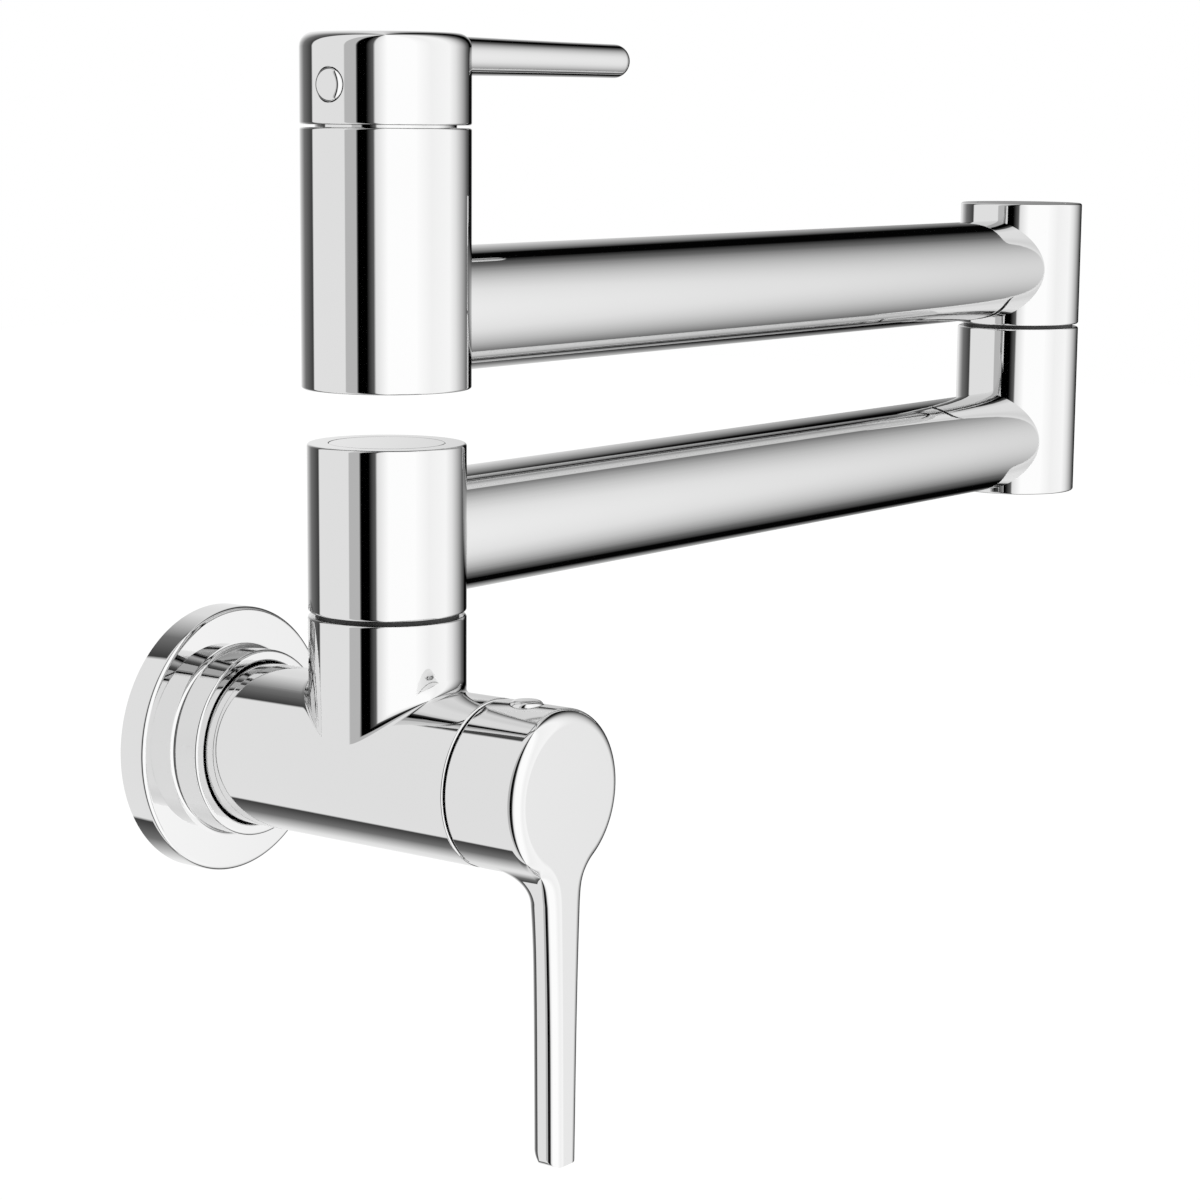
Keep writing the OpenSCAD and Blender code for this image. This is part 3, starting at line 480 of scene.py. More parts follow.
@dataclass
class WallFlange:
    """The round flange at the wall: a shell with a collar that flows out of its face."""

    wall: float = 1.5
    face_depth: float = 6.9
    face_round: float = 1.05
    root_round: float = 1.1
    collar_rise: float = 2.9
    gap: float = 0.36
    rim_round: float = 0.7
    mouth_round: float = 0.5
    groove_depth: float = 2.14
    groove_h: float = 2.3

    def build(self, barrel_r: float) -> None:
        """Turns the flange around a barrel of that radius."""
        span = Span.of("wall_flange")
        outer, length = span.size.x / 2, span.size.y
        bore = barrel_r + self.gap
        collar = barrel_r + self.collar_rise
        back = self.face_depth - self.wall
        groove_z = -Span.of("flange_grip_ring").middle.y
        low, high = groove_z - self.groove_h / 2, groove_z + self.groove_h / 2
        groove = barrel_r + self.groove_depth
        profile = [
            Corner(outer, 0), Corner(outer, self.face_depth, self.face_round),
            Corner(collar, self.face_depth, self.root_round),
            Corner(collar, length, self.rim_round),
            Corner(bore, length, self.mouth_round),
            Corner(bore, high), Corner(groove, high), Corner(groove, low), Corner(bore, low),
            Corner(bore, back), Corner(outer - self.wall, back), Corner(outer - self.wall, 0),
        ]
        Blank("flange_shell", turn(profile)).place(
            Axis.OUT, Vector(), "wall_valve", CHROME, ["wall_flange"])


@dataclass
class CartridgeSeat:
    """The stepped bore of a housing around its cartridge, counted back from the housing's rim."""

    thread_r: float = 13.5
    thread_depth: float = 11.0
    shoulder_r: float = 12.3
    shoulder_depth: float = 3.0
    chamber_r: float = 11.0
    chamber_depth: float = 26.0
    foot_r: float = 9.05
    foot_depth: float = 4.0
    waterway_r: float = 6.0
    mouth_round: float = 0.3

    @property
    def depth(self) -> float:
        """How deep the cartridge's seat lies."""
        return self.thread_depth + self.shoulder_depth + self.chamber_depth + self.foot_depth

    def profile(self, rim: float, end: float) -> list[Corner]:
        """The bore's corners from the rim down to the end of the waterway.

        Args:
            rim: the height of the housing's rim.
            end: the height at which the waterway ends.

        Returns:
            The corners, from the rim inwards.
        """
        thread_z = rim - self.thread_depth
        shoulder_z = thread_z - self.shoulder_depth
        foot_z = shoulder_z - self.chamber_depth
        seat_z = rim - self.depth
        return [
            Corner(self.thread_r, rim, self.mouth_round), Corner(self.thread_r, thread_z),
            Corner(self.shoulder_r, thread_z), Corner(self.shoulder_r, shoulder_z),
            Corner(self.chamber_r, shoulder_z), Corner(self.chamber_r, foot_z),
            Corner(self.foot_r, foot_z), Corner(self.foot_r, seat_z),
            Corner(self.waterway_r, seat_z), Corner(self.waterway_r, end),
        ]


@dataclass
class SaddleBlend:
    """The hollow that runs round the foot of the riser, as a ball rolled round it would leave."""

    riser_r: float
    barrel_r: float
    ball: float = 2.6
    around: int = 192
    across: int = 14

    def _ring(self, share: float) -> Callable[[float], Vector]:
        """A function that gives the blend's point at an angle, for a share of the way across.

        Args:
            share: 0 where the ball touches the riser and 1 where it touches the barrel.

        Returns:
            The function from an angle round the riser, in radians.
        """
        def point(angle: float) -> Vector:
            """The blend's point at that angle."""
            x = (self.riser_r + self.ball) * math.cos(angle)
            y = (self.riser_r + self.ball) * math.sin(angle)
            z = math.sqrt((self.barrel_r + self.ball) ** 2 - x * x)
            up = Vector((math.cos(angle), math.sin(angle), 0))
            out = Vector((x, 0, z)).normalized()
            return Vector((x, y, z)) - up.slerp(out, share) * (self.ball - HAIR)
        return point

    def mesh(self) -> BMesh:
        """The ring of metal that fills the corner, as a closed solid about the riser's axis."""
        shares = [(1 - math.cos(math.pi * k / self.across)) / 2 for k in range(self.across + 1)]
        top, foot = self._ring(0), self._ring(1)

        def core(angle: float) -> Vector:
            """A point inside both walls at that angle."""
            middle = (top(angle) + foot(angle)) / 2
            out = Vector((math.cos(angle), math.sin(angle), 0)) + Vector((0, 0, 1))
            return middle - out.normalized() * (self.ball + OVERRUN)

        bm = bmesh.new()
        loops = []
        for place in [self._ring(share) for share in shares] + [core]:
            made = bmesh.ops.create_circle(bm, segments=self.around, radius=1)
            for vert in made["verts"]:
                vert.co = place(math.atan2(vert.co.y, vert.co.x))
            loops.append([e for e in bm.edges if e.verts[0] in made["verts"]])
        for near, far in zip(loops, loops[1:] + loops[:1]):
            bmesh.ops.bridge_loops(bm, edges=near + far)
        bmesh.ops.recalc_face_normals(bm, faces=bm.faces)
        return bm


@dataclass
class ValveBody:
    """The barrel that leaves the wall, with the riser standing on it."""

    seat: CartridgeSeat = field(default_factory=CartridgeSeat)
    rim_round: float = 0.5
    riser_round: float = 0.6
    inlet_r: float = 9.3
    inlet_depth: float = 14.0
    spindle_thread_r: float = 9.55
    spindle_thread_depth: float = 12.0

    def build(self) -> None:
        """Turns the barrel and the riser, joins them and bores them."""
        span = Span.of("valve_body")
        riser_y = Span.of("riser_spindle").middle.y
        barrel_r, length, rise = -span.lo.z, span.size.y, span.hi.z
        riser_r = Span.of("lower_hub").size.x / 2
        barrel = turn([Corner(0, 0), Corner(barrel_r, 0, self.rim_round),
                       Corner(barrel_r, length, self.rim_round), Corner(0, length)])
        riser = rod(riser_r, 0, rise, self.riser_round)
        riser_place = Matrix.Translation((0, riser_y, 0))
        bore = [Corner(0, length + OVERRUN), Corner(self.seat.thread_r, length + OVERRUN)]
        bore += self.seat.profile(length, self.inlet_depth)[1:]
        bore += [Corner(self.inlet_r, self.inlet_depth), Corner(self.inlet_r, -OVERRUN),
                 Corner(0, -OVERRUN)]
        foot = rise - self.spindle_thread_depth
        riser_bore = [Corner(0, 0), Corner(self.seat.waterway_r, 0),
                      Corner(self.seat.waterway_r, foot), Corner(self.spindle_thread_r, foot),
                      Corner(self.spindle_thread_r, rise + OVERRUN), Corner(0, rise + OVERRUN)]
        blank = Blank("barrel_and_riser", moved(barrel, Axis.OUT.turn))
        blank.set(Join.ADD, moved(riser, riser_place))
        blank.set(Join.ADD, moved(SaddleBlend(riser_r, barrel_r).mesh(), riser_place))
        blank.set(Join.CUT, moved(turn(bore), Axis.OUT.turn))
        blank.set(Join.CUT, moved(turn(riser_bore), riser_place))
        blank.place(Axis.UP, Vector(), "wall_valve", CHROME, ["valve_body"])


@dataclass
class SwivelHub:
    """A hub that turns on a spindle, with the mouth of its arm tube on one side."""

    node: str
    body: str
    arm_z: float
    faces_arm: float
    rim_round: float = 0.6
    cap_seat_r: float = 12.45
    cap_seat_depth: float = 2.5
    nut_well_r: float = 11.1
    nut_well_depth: float = 7.85
    bore_r: float = 9.08
    ring_r: float = 13.0
    ring_h: float = 13.0
    port_r: float = 6.3
    mouth_round: float = 0.15

    def build(self) -> None:
        """Turns the hub and bores its side port."""
        span = Span.of(self.node)
        outer, height = span.size.x / 2, span.size.z
        arm = self.arm_z - span.lo.z
        low, high = arm - self.ring_h / 2, arm + self.ring_h / 2
        well = height - self.nut_well_depth
        cap = height - self.cap_seat_depth
        profile = [
            Corner(outer, 0, self.rim_round), Corner(outer, height, self.rim_round),
            Corner(self.cap_seat_r, height, self.mouth_round), Corner(self.cap_seat_r, cap),
            Corner(self.nut_well_r, cap), Corner(self.nut_well_r, well),
            Corner(self.bore_r, well), Corner(self.bore_r, high), Corner(self.ring_r, high),
            Corner(self.ring_r, low), Corner(self.bore_r, low), Corner(self.bore_r, 0),
        ]
        port = rod(self.port_r, self.bore_r, outer + OVERRUN, steps=PORT_STEPS)
        stand(self.node, self.body, turn(profile), sideways(port, arm, self.faces_arm))


@dataclass
class HubCap:
    """The round cap let into the top of a hub."""

    node: str
    body: str
    rim_round: float = 0.3

    def build(self) -> None:
        """Turns the cap."""
        size = Span.of(self.node).size
        stand(self.node, self.body, rod(size.x / 2, 0, size.z, self.rim_round))


@dataclass
class ElbowBase:
    """The upright body at the end of the lower arm, closed below."""

    rim_round: float = 0.6
    thread_r: float = 9.55
    thread_depth: float = 12.0
    well_r: float = 8.4
    floor: float = 8.0
    port_r: float = 6.3

    def build(self, arm_z: float) -> None:
        """Turns the base and bores its side port."""
        span = Span.of("elbow_base")
        outer, height = span.size.x / 2, span.size.z
        foot = height - self.thread_depth
        profile = [
            Corner(0, 0), Corner(outer, 0, self.rim_round), Corner(outer, height, self.rim_round),
            Corner(self.thread_r, height), Corner(self.thread_r, foot),
            Corner(self.well_r, foot), Corner(self.well_r, self.floor), Corner(0, self.floor),
        ]
        port = rod(self.port_r, self.well_r - OVERRUN, outer + OVERRUN, steps=PORT_STEPS)
        stand("elbow_base", "lower_arm", turn(profile), sideways(port, arm_z - span.lo.z, -1))


@dataclass
class ArmTube:
    """A tube between two upright bodies, coped at both ends to sit on their round sides."""

    node: str
    body: str
    near_r: float
    far_r: float
    reach: float
    wall: float = 1.3
    film: float = 0.02

    def build(self) -> None:
        """Turns the tube and copes its ends."""
        span = Span.of(self.node)
        outer = span.size.z / 2
        profile = [Corner(outer, 0), Corner(outer, self.reach),
                   Corner(outer - self.wall, self.reach), Corner(outer - self.wall, 0)]
        blank = Blank(self.node + "_coped", sideways(turn(profile), 0))
        for x, radius in ((0, self.near_r), (self.reach, self.far_r)):
            upright = rod(radius + self.film, -2 * outer, 2 * outer)
            blank.set(Join.CUT, moved(upright, Matrix.Translation((x, 0, 0))))
        blank.place(Axis.UP, Vector((0, span.middle.y, span.middle.z)), self.body, CHROME,
                    [self.node])


@dataclass
class OutletBody:
    """The upright body at the end of the upper arm, with the aerator's well below."""

    seat: CartridgeSeat = field(default_factory=CartridgeSeat)
    rim_round: float = 0.5
    mouth_round: float = 0.25
    well_r: float = 12.05
    well_depth: float = 8.82
    port_rise: float = 10.1

    def build(self) -> None:
        """Turns the body and bores its side port."""
        span = Span.of("outlet_body")
        outer, height = span.size.x / 2, span.size.z
        profile = [
            Corner(outer, 0, self.rim_round), Corner(outer, height, self.rim_round),
            *self.seat.profile(height, self.well_depth),
            Corner(self.well_r, self.well_depth), Corner(self.well_r, 0, self.mouth_round),
        ]
        port = rod(self.seat.waterway_r, self.seat.foot_r, outer + OVERRUN, steps=PORT_STEPS)
        port_z = height - self.seat.depth + self.port_rise
        stand("outlet_body", "upper_arm", turn(profile), sideways(port, port_z))


@dataclass
class HandleHollow:
    """The hollows of a handle's hub: the well over the clamp ring, the stem's bore and the set
    screw's hole under its cap."""

    well_r: float = 15.6
    well_depth: float = 3.9
    stem_r: float = 4.05
    stem_depth: float = 12.6
    screw_r: float = 2.55
    cap_r: float = 3.7
    cap_depth: float = 2.6

    def stem_profile(self, low: float) -> list[Corner]:
        """The hollow's corners from the hub's lower rim up to the end of the stem's bore."""
        return [Corner(self.well_r, low), Corner(self.well_r, self.well_depth),
                Corner(self.stem_r, self.well_depth), Corner(self.stem_r, self.stem_depth),
                Corner(0, self.stem_depth)]

    def screw_hole(self, hub_r: float, rise: float) -> BMesh:
        """The stepped hole that the set screw enters by, on the side away from the lever.

        Args:
            hub_r: the radius of the hub.
            rise: the height of the screw's axis.

        Returns:
            The solid that cuts it.
        """
        step = hub_r - self.cap_depth
        hole = [Corner(0, 0), Corner(self.screw_r, 0), Corner(self.screw_r, step),
                Corner(self.cap_r, step), Corner(self.cap_r, hub_r + OVERRUN),
                Corner(0, hub_r + OVERRUN)]
        return sideways(turn(hole, PORT_STEPS), rise, -1)


@dataclass
class ScrewCap:
    """The button over a set screw: a flat disc with a round edge, in a hole a little wider."""

    node: str
    body: str
    axis: Axis
    radius: float = 3.55
    edge_round: float = 1.15

    def build(self, place: Vector, length: float) -> None:
        """Turns the cap to that length and seats the middle of its inner end at place."""
        cap = rod(self.radius, 0, length, self.edge_round, SLIM_STEPS)
        Blank(self.node + "_turned", cap).place(
            self.axis, place, self.body, CHROME, [self.node])


class Part(Enum):
    """The parts of the shutoff handle's outline, from the back of its hub to its tip."""

    HUB = "round hub"
    BLEND = "hollow between the hub and the lever"
    SIDE = "side of the lever"
    HEEL = "side of the lever where its back curves up"
    CORNER = "corner of the tip"
    END = "flat end of the tip"


class Zone(Enum):
    """The zones of the shutoff handle's skin, from its front face to the middle of its back."""

    FRONT = "front rounding"
    BACK = "back rounding"
    ACROSS = "back"


# How many stations each part of the outline has, but for the flat end.
STATIONS = {Part.HUB: 108, Part.BLEND: 24, Part.SIDE: 16, Part.HEEL: 6, Part.CORNER: 8}


@dataclass
class SpoonSkin:
    """The outside of the shutoff handle as one sheet: its hub runs on into its lever.

    The sheet is laid out on the outline of one half, seen from the front, with x along the lever.
    """

    hub_r: float
    reach: float
    front: float
    gap: float
    root_w: float = 10.3
    tip_w: float = 8.7
    thickness: float = 7.6
    front_round: float = 3.0
    back_round: float = 4.1
    rear_round: float = 0.5
    blend: float = 10.0
    hollow: float = 5.0
    swell_w: float = 1.29
    swell_w_run: float = 34.8
    swell_t: float = 0.55
    swell_t_run: float = 14.0
    swell_from: float = 18.0
    swell_at: float = 23.0
    corner: float = 2.0
    heel: float = 3.0
    tip_edge: float = 0.25
    tip_sharp: float = 35.0
    tip_segments: int = 3
    side_crowding: int = 3
    weld: float = 0.0005
    steps: int = 12

    def __post_init__(self) -> None:
        """Works out where the blend lies between the hub and the lever's side."""
        self.back = self.front - self.thickness
        self.hollow_z = self.back - self.hollow
        self.wall_z = self.front - self.front_round
        away = self.hub_r + self.blend
        foot = math.sqrt(away ** 2 - (self.root_w / 2 + self.blend) ** 2)
        self.slope = (self.root_w - self.tip_w) / 2 / (self.reach - foot)
        self.tilt = math.atan(self.slope)
        self.level = (self.root_w / 2 + foot * self.slope) * math.cos(self.tilt)
        self.lean = math.pi / 2 - self.tilt - math.acos((self.level + self.blend) / away)
        self.centre = polar(away, self.lean)

    def _side(self, x: float, inset: float) -> Vector:
        """The point at x on the lever's side, moved inwards by inset."""
        return Vector((x, (self.level - inset) / math.cos(self.tilt) - x * self.slope))

    def _plan(self, part: Part, share: float, inset: float) -> Vector:
        """A point of the outline after it was moved inwards.

        Args:
            part: the part of the outline.
            share: how far along that part the point lies, from 0 to 1.
            inset: how far the outline was moved inwards.

        Returns:
            The point in plan.
        """
        if part is Part.HUB:
            return polar(self.hub_r - inset, math.pi + (self.lean - math.pi) * share)
        start, end = math.pi + self.lean, 1.5 * math.pi - self.tilt
        if part is Part.BLEND:
            return self.centre + polar(self.blend + inset, start + (end - start) * share)
        heel_x = self.reach - self.heel
        if part is Part.SIDE:
            near = (self.centre + polar(self.blend + inset, end)).x
            return self._side(near + (heel_x - near) * share ** self.side_crowding, inset)
        middle = self._side(self.reach - self.corner, self.corner)
        angle = math.pi / 2 - self.tilt - math.acos(max(0, 1 - inset / self.corner))
        if angle > 0:
            last, turned = middle + polar(self.corner, angle), middle.y
        else:
            last = self._side(self.reach, inset)
            turned = last.y
        if part is Part.HEEL:
            return self._side(heel_x + (last.x - heel_x) * share, inset)
        if part is Part.END:
            return Vector((self.reach, turned * (1 - share)))
        return middle + polar(self.corner, angle * (1 - share)) if angle > 0 else last

    def _point(self, part: Part, share: float, zone: Zone, step: float) -> Vector:
        """A point of the skin, before the heel is shaped.

        Args:
            part: the part of the outline.
            share: how far along that part it lies, from 0 to 1.
            zone: the zone of the skin.
            step: how far through that zone it lies, from 0 to 1.

        Returns:
            The point.
        """
        turned = step * math.pi / 2
        if zone is Zone.FRONT:
            inset = self.front_round * (1 - math.sin(turned))
            drop = self.front_round * (1 - math.cos(turned))
            return self._plan(part, share, inset).to_3d() + Vector((0, 0, self.front - drop))
        if part is Part.HUB and share < 1:
            return self._plan(part, share, 0).to_3d() + Vector((0, 0, self.hollow_z))
        if zone is Zone.ACROSS:
            edge = self._point(part, share, Zone.BACK, 1)
            if part in (Part.HEEL, Part.CORNER, Part.END):
                return Vector((edge.x, edge.y * (1 - step), edge.z))
            on = polar(edge.xy.length, math.atan2(edge.y, edge.x) * (1 - step))
            return Vector((on.x, on.y, edge.z))
        core = self._plan(part, share, self.back_round)
        short = self.hub_r + self.hollow - core.length
        if short > 0:
            ball = self.hollow + self.back_round
            depth = math.sqrt(max(ball ** 2 - short ** 2, 0))
            outward = (self._plan(part, share, 0) - core).to_3d().normalized()
            down = (core.normalized() * short).to_3d() - Vector((0, 0, depth))
            reached = outward.slerp(down.normalized(), step) * self.back_round
            return core.to_3d() + Vector((0, 0, self.hollow_z + depth)) + reached
        inset = self.back_round * (1 - math.cos(turned))
        rise = self.back_round * (1 - math.sin(turned))
        return self._plan(part, share, inset).to_3d() + Vector((0, 0, self.back + rise))

    def _swell(self, out: float, run: float) -> float:
        """How much of the lever's swelling there is at a distance from the hub's axis.

        Args:
            out: that distance.
            run: how far the swelling runs down the lever.

        Returns:
            The share, from 0 to 1.
        """
        if out > self.swell_at:
            return max(0, 1 - (out - self.swell_at) / run) ** 2
        share = max(0, (out - self.swell_from) / (self.swell_at - self.swell_from))
        return share * share * (3 - 2 * share)

    def _swollen(self, point: Vector) -> Vector:
        """The point after the lever was made a little wider and thicker near its root."""
        if point.x <= 0:
            return point
        out = point.xy.length
        wide = 1 + self.swell_w * self._swell(out, self.swell_w_run) / self.root_w
        depth = max(0, self.wall_z - point.z)
        deeper = self.swell_t * self._swell(out, self.swell_t_run) / (self.wall_z - self.back)
        return Vector((point.x, point.y * wide, point.z - depth * deeper))

    def _heeled(self, point: Vector) -> Vector:
        """The point after the tip's back was rounded up to its end."""
        past = point.x - (self.reach - self.heel)
        if past <= 0 or point.z >= self.wall_z:
            return point
        lifted = self.heel - math.sqrt(max(self.heel ** 2 - past ** 2, 0))
        depth = self.wall_z - self.back
        share = (depth - lifted) / depth
        return Vector((point.x, point.y, self.wall_z - (self.wall_z - point.z) * share))

    def _half(self) -> BMesh:
        """Half of the skin, laid on a grid of stations along the outline and rows across it."""
        counts = {**STATIONS, Part.END: self.steps}
        stations = [(part, k / n) for part, n in counts.items() for k in range(1, n + 1)]
        stations.insert(0, (Part.HUB, 0.0))
        rows = [(zone, k / self.steps) for zone in Zone
                for k in range(int(zone is Zone.ACROSS), self.steps + 1)]
        last, bottom = len(stations) - 1, len(rows) - 1
        bm = bmesh.new()
        bmesh.ops.create_grid(bm, x_segments=last, y_segments=bottom, size=1)
        for vert in bm.verts:
            place = (vert.co.x + 1) / 2 * last, (vert.co.y + 1) / 2 * bottom, 0
            vert.co = [round(at) for at in place]
        beside = [f for f in bm.faces if min(v.co.y for v in f.verts) >= bottom - self.steps
                  and (max(v.co.x for v in f.verts) <= counts[Part.HUB]
                       or min(v.co.x for v in f.verts) >= last - counts[Part.END])]
        bmesh.ops.delete(bm, geom=beside, context="FACES")
        for vert in bm.verts:
            station, row = stations[int(vert.co.x)], rows[int(vert.co.y)]
            vert.co = self._heeled(self._swollen(self._point(*station, *row)))
        return bm

    @staticmethod
    def _open_edges(bm: BMesh, z: float) -> list[bmesh.types.BMEdge]:
        """The open edges of a mesh that lie at that height."""
        return [e for e in bm.edges if e.is_boundary
                and all(abs(v.co.z - z) < HAIR for v in e.verts)]

    def mesh(self) -> BMesh:
        """The whole handle without its hollows, as a closed solid with z out of its front."""
        bm = self._half()
        bmesh.ops.remove_doubles(bm, verts=bm.verts, dist=self.weld)
        bmesh.ops.mirror(bm, geom=bm.verts[:] + bm.edges[:] + bm.faces[:], axis="Y",
                         merge_dist=self.weld)
        bmesh.ops.remove_doubles(bm, verts=bm.verts, dist=self.weld)
        rings = [(self.hub_r, self.gap + self.rear_round)]
        for k in range(1, ARC_STEPS + 1):
            turned = math.pi / 2 * k / ARC_STEPS
            rings.append((self.hub_r - self.rear_round * (1 - math.cos(turned)),
                          self.gap + self.rear_round * (1 - math.sin(turned))))
        edges = self._open_edges(bm, self.hollow_z)
        for radius, z in rings:
            grown = bmesh.ops.extrude_edge_only(bm, edges=edges)["geom"]
            edges = [g for g in grown if isinstance(g, bmesh.types.BMEdge)]
            for vert in {v for e in edges for v in e.verts}:
                vert.co = vert.co.xy.normalized().to_3d() * radius + Vector((0, 0, z))
        bmesh.ops.holes_fill(bm, edges=edges, sides=0)
        bmesh.ops.holes_fill(bm, edges=self._open_edges(bm, self.front), sides=0)
        bmesh.ops.recalc_face_normals(bm, faces=bm.faces)
        sharp = [e for e in bm.edges if e.calc_face_angle(0) > math.radians(self.tip_sharp)
                 and min(v.co.x for v in e.verts) > self.reach - self.corner
                 and min(v.co.z for v in e.verts) > self.wall_z]
        bmesh.ops.bevel(bm, geom=sharp, offset=self.tip_edge, segments=self.tip_segments,
                        profile=0.5, affect="EDGES", clamp_overlap=True, material=-1)
        return bm


@dataclass
class ShutoffHandle:
    """The handle on the barrel, with its hollows and the cap over its set screw."""

    hollow: HandleHollow = field(default_factory=HandleHollow)
    gap: float = 0.6
    screw_rise: float = 8.05

    def build(self) -> None:
        """Makes the handle's skin, bores it and turns the cap."""
        span = Span.of("shutoff_handle")
        hub_r, reach = span.size.x / 2, -span.lo.z
        rim = -Span.of("valve_body").lo.y
        skin = SpoonSkin(hub_r, reach, -span.lo.y - rim, self.gap).mesh()
        well = [Corner(0, self.gap - OVERRUN), *self.hollow.stem_profile(self.gap - OVERRUN)]
        blank = Blank("shutoff_hub_and_lever", skin).set(Join.CUT, turn(well))
        blank.set(Join.CUT, self.hollow.screw_hole(hub_r, self.screw_rise))
        blank.place(Axis.OUT, Vector((0, -rim, 0)), "shutoff_lever", CHROME, ["shutoff_handle"])
        cap = Span.of("shutoff_screw_cap")
        ScrewCap("shutoff_screw_cap", "shutoff_lever", Axis.UP).build(
            Vector((cap.middle.x, cap.middle.y, cap.lo.z)), cap.size.z)


@dataclass
class OutletHandle:
    """The handle over the outlet: a hub with a soft top rim and a slim rod for a lever."""

    hollow: HandleHollow = field(default_factory=HandleHollow)
    gap: float = 0.6
    rear_round: float = 0.5
    top_round: float = 3.0
    screw_rise: float = 8.65
    rod_rise: float = 15.25
    tip_d: float = 7.6
    flare: float = 0.9
    flare_power: float = 1.6
    rod_steps: int = 40
    tip_steps: int = 24
    film: float = 0.02

    def build(self) -> None:
        """Turns the hub, the rod and the cap."""
        hub, lever = Span.of("outlet_handle_hub"), Span.of("outlet_lever_rod")
        rim = Span.of("outlet_body").hi.z
        radius, top = hub.size.x / 2, hub.hi.z - rim
        place = Vector((hub.middle.x, hub.middle.y, rim))
        profile = [Corner(0, top), Corner(radius, top, self.top_round),
                   Corner(radius, self.gap, self.rear_round),
                   *self.hollow.stem_profile(self.gap)]
        blank = Blank("outlet_hub_turned", turn(profile))
        blank.set(Join.CUT, self.hollow.screw_hole(radius, self.screw_rise))
        blank.place(Axis.UP, place, "outlet_lever", CHROME, ["outlet_handle_hub"])

        tip_r = self.tip_d / 2
        root_x, end_x = radius - self.top_round, lever.hi.x - tip_r
        shares = [k / self.rod_steps for k in range(self.rod_steps + 1)]
        side = [Vector((tip_r + self.flare / 2 * (1 - s) ** self.flare_power,
                        root_x + (end_x - root_x) * s)) for s in shares]
        tip = [Vector((0, end_x)) + polar(tip_r, math.pi / 2 * k / self.tip_steps)
               for k in range(1, self.tip_steps)]
        points = [Vector((0, root_x)), *side, *tip, Vector((0, lever.hi.x))]
        turned = spin(points, SLIM_STEPS, closed=False)
        slim = Blank("outlet_rod_turned", sideways(turned, self.rod_rise))
        slim.set(Join.CUT, rod(radius + self.film, 0, top + self.film, self.top_round))
        slim.place(Axis.UP, place, "outlet_lever", CHROME, ["outlet_lever_rod"])
        cap = Span.of("outlet_screw_cap")
        ScrewCap("outlet_screw_cap", "outlet_lever", Axis.BACK).build(
            Vector((cap.hi.x, cap.middle.y, cap.middle.z)), cap.size.x)


class InnerPieces:
    """The CAD nodes that stay: each gets the finish of its slot."""

    def dress(self) -> None:
        """Assigns the finishes to the nodes' material slots."""
        by_slot = {finish.slot: finish for finish in FINISHES}
        slots = {part["node"]: part["material_slot"] for part in frame["record"]["subparts"]}
        for node, piece in frame["nodes"].items():
            material = by_slot[slots[node]].material()
            for place in piece.material_slots:
                place.material = material


@dataclass(frozen=True)
class Card:
    """A card or flag of the studio: it stands between two bearings, seen from the object.

    Its two grey levels, from 0 to 255, are what the chrome shows of its two edges.
    """

    name: str
    start: float
    end: float
    near: int
    far: int


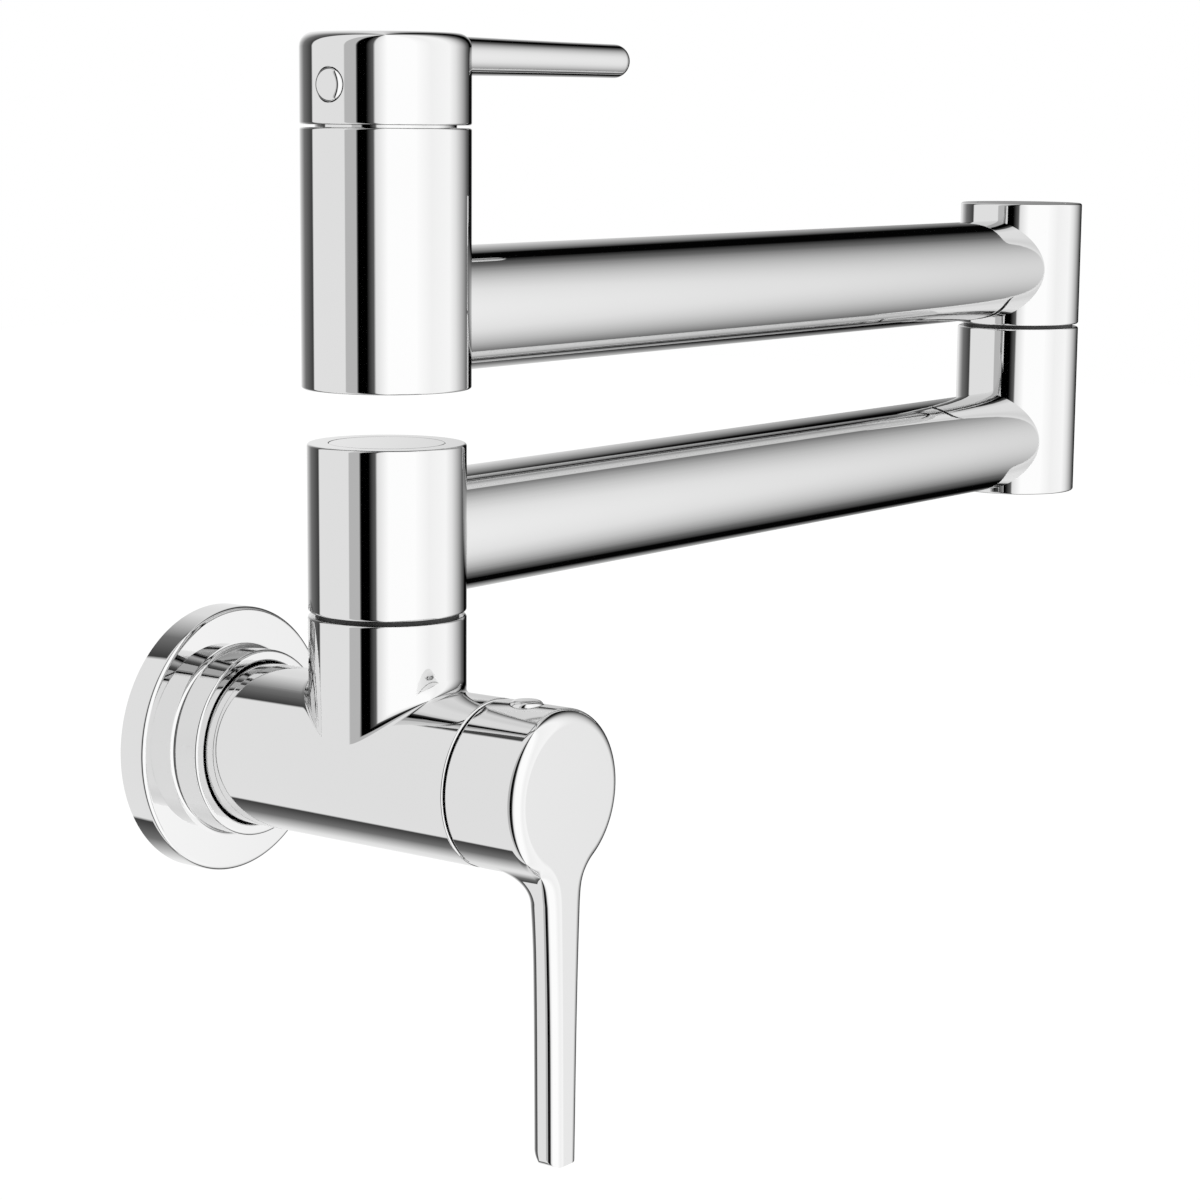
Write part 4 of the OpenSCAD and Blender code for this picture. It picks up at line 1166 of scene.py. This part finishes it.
@dataclass
class Studio:
    """A ring of tall cards and flags around the object, and a white floor well below it.

    Dull surfaces are lit from all round at the plain level of fill. Only mirrors see the cards.
    The chrome gives back 0.7 of what it sees, so a card is card_light times as bright as the
    level that it shows there. That is over the plain level of 1, at which the chrome's light
    bands would render at 0.7. Mirrors don't see the floor.
    """

    white: float = 1.0
    card_light: float = 1.4
    fill: float = 0.97
    floor_z: float = -330.0
    floor_size: float = 9000.0
    floor_glow: float = 0.62
    floor_paint: float = 0.42
    cards: tuple[Card, ...] = (
        Card("left fill", -180.0, -179.0, 180, 180),
        Card("left flag", -178.5, -165.5, 0, 0),
        Card("left flag's worn side", -165.0, -155.5, 3, 95),
        Card("key card, left side", -154.0, -137.0, 222, 255),
        Card("key card", -136.5, -98.0, 255, 255),
        Card("key card, right side", -97.0, -78.0, 253, 243),
        Card("right card", -77.0, -46.0, 242, 247),
        Card("right card's edge", -45.5, -32.0, 246, 224),
        Card("right card's fall-off", -31.5, -4.0, 222, 110),
        Card("right flag", -3.0, 10.0, 102, 3),
        Card("wall card", 22.0, 42.0, 3, 214),
        Card("wall card's fall-off", 52.0, 80.0, 215, 112),
        Card("wall card's dark side", 80.5, 104.5, 110, 58),
        Card("far card", 106.5, 163.5, 224, 224),
        Card("left fill, behind", 164.5, 180.0, 180, 180),
    )

    @staticmethod
    def _light(level: int) -> float:
        """The light that gives a grey level of 0 to 255."""
        share = level / WHITE_LEVEL
        if share <= SRGB_KNEE:
            return share / SRGB_SLOPE
        return ((share + SRGB_LIFT) / (1 + SRGB_LIFT)) ** SRGB_POWER

    @staticmethod
    def _place(bearing: float) -> float:
        """Where a bearing in degrees lies on the ramp, from 0 to 1."""
        return (bearing + 180) / 360

    def build(self) -> None:
        """Makes the world and the floor."""
        self._world()
        self._floor()

    def _world(self) -> None:
        """Mirrors see the cards, the camera sees white, and dull surfaces a plain sky."""
        world = bpy.data.worlds.new("studio")
        bpy.context.scene.world = world
        shader = Shader(world)
        look = shader.node("ShaderNodeTexCoord", output="Generated")
        across = shader.node("ShaderNodeSeparateXYZ", {}, {"Vector": look}, output="X")
        bearing = across.beside("Y").math("ARCTAN2", across) / math.tau + 0.5
        stops = [(self._place(at), self._light(level)) for card in self.cards
                 for at, level in ((card.start, card.near), (card.end, card.far))]
        ring = shader.node("ShaderNodeValToRGB", {"stops": stops}, {"Fac": bearing})
        mirrored = shader.node("ShaderNodeLightPath", output="Is Glossy Ray")
        level = mirrored.beside("Is Diffuse Ray") * (self.fill - self.white) + self.white
        cards = shader.node("ShaderNodeBackground", {},
                            {"Color": ring, "Strength": self.card_light})
        plain = shader.node("ShaderNodeBackground", {},
                            {"Color": (1, 1, 1, 1), "Strength": level})
        both = shader.node("ShaderNodeMixShader", {}, {0: mirrored, 1: plain, 2: cards})
        shader.node("ShaderNodeOutputWorld", {}, {"Surface": both})

    def _floor(self) -> None:
        """A white floor that keeps the object's shadow and that the chrome doesn't mirror."""
        bm = bmesh.new()
        bmesh.ops.create_grid(bm, x_segments=1, y_segments=1, size=self.floor_size / 2 * MM)
        bmesh.ops.translate(bm, verts=bm.verts, vec=(0, 0, self.floor_z * MM))
        floor = linked("floor", bm)
        material = bpy.data.materials.new("floor_paint")
        shader = Shader(material)
        paint = (self.floor_paint, self.floor_paint, self.floor_paint, 1.0)
        dull = shader.node("ShaderNodeBsdfDiffuse", {}, {"Color": paint})
        glow = shader.node("ShaderNodeEmission", {}, {"Strength": self.floor_glow})
        lit = shader.node("ShaderNodeAddShader", {}, {0: dull, 1: glow})
        clear = shader.node("ShaderNodeBsdfTransparent")
        mirrored = shader.node("ShaderNodeLightPath", output="Is Glossy Ray")
        both = shader.node("ShaderNodeMixShader", {}, {0: mirrored, 1: lit, 2: clear})
        shader.node("ShaderNodeOutputMaterial", {}, {"Surface": both})
        floor.data.materials.append(material)


@dataclass
class Viewpoint:
    """The photograph's camera."""

    place: tuple[float, float, float] = (-485.62, -462.52, 138.18)
    bearing: float = -53.818
    elevation: float = 9.11
    roll: float = 0.468
    focal_px: float = 3002.26
    photo_px: float = 1200.0
    sensor: float = 36.0

    def build(self) -> None:
        """Makes the camera and gives it to the scene."""
        a, e, r = (math.radians(v) for v in (self.bearing, self.elevation, self.roll))
        back = Vector((math.sin(a) * math.cos(e), -math.cos(a) * math.cos(e), math.sin(e)))
        right = (-back).cross(Vector((0, 0, 1))).normalized()
        up = right.cross(-back)
        tilted_right = right * math.cos(r) + up * math.sin(r)
        tilted_up = up * math.cos(r) - right * math.sin(r)
        data = bpy.data.cameras.new("camera")
        data.sensor_width = self.sensor
        data.lens = self.focal_px * self.sensor / self.photo_px
        camera = bpy.data.objects.new("camera", data)
        bpy.context.scene.collection.objects.link(camera)
        aim = Matrix((tilted_right, tilted_up, back)).transposed().to_4x4()
        camera.matrix_world = Matrix.Translation(Vector(self.place) * MM) @ aim
        bpy.context.scene.camera = camera


def main() -> None:
    """Builds and dresses every piece, then the studio and the camera."""
    logging.basicConfig(level=logging.INFO, format="%(message)s")
    Viewpoint().build()
    Studio().build()
    InnerPieces().dress()

    housing_r = -Span.of("valve_body").lo.z
    hub_r = Span.of("lower_hub").size.x / 2
    lower_z = Span.of("lower_arm_tube").middle.z
    upper_z = Span.of("upper_arm_tube").middle.z
    reach = Span.of("elbow_base").middle.x
    WallFlange().build(housing_r)
    ValveBody().build()
    ShutoffHandle().build()
    SwivelHub("lower_hub", "lower_arm", lower_z, 1).build()
    HubCap("lower_hub_cap", "lower_arm").build()
    ArmTube("lower_arm_tube", "lower_arm", hub_r, hub_r, reach).build()
    ElbowBase().build(lower_z)
    SwivelHub("elbow_top_hub", "upper_arm", upper_z, -1).build()
    HubCap("elbow_hub_cap", "upper_arm").build()
    ArmTube("upper_arm_tube", "upper_arm", housing_r, hub_r, reach).build()
    OutletBody().build()
    OutletHandle().build()

    bpy.context.scene.view_settings.view_transform = "Standard"


if __name__ == "__main__":
    main()
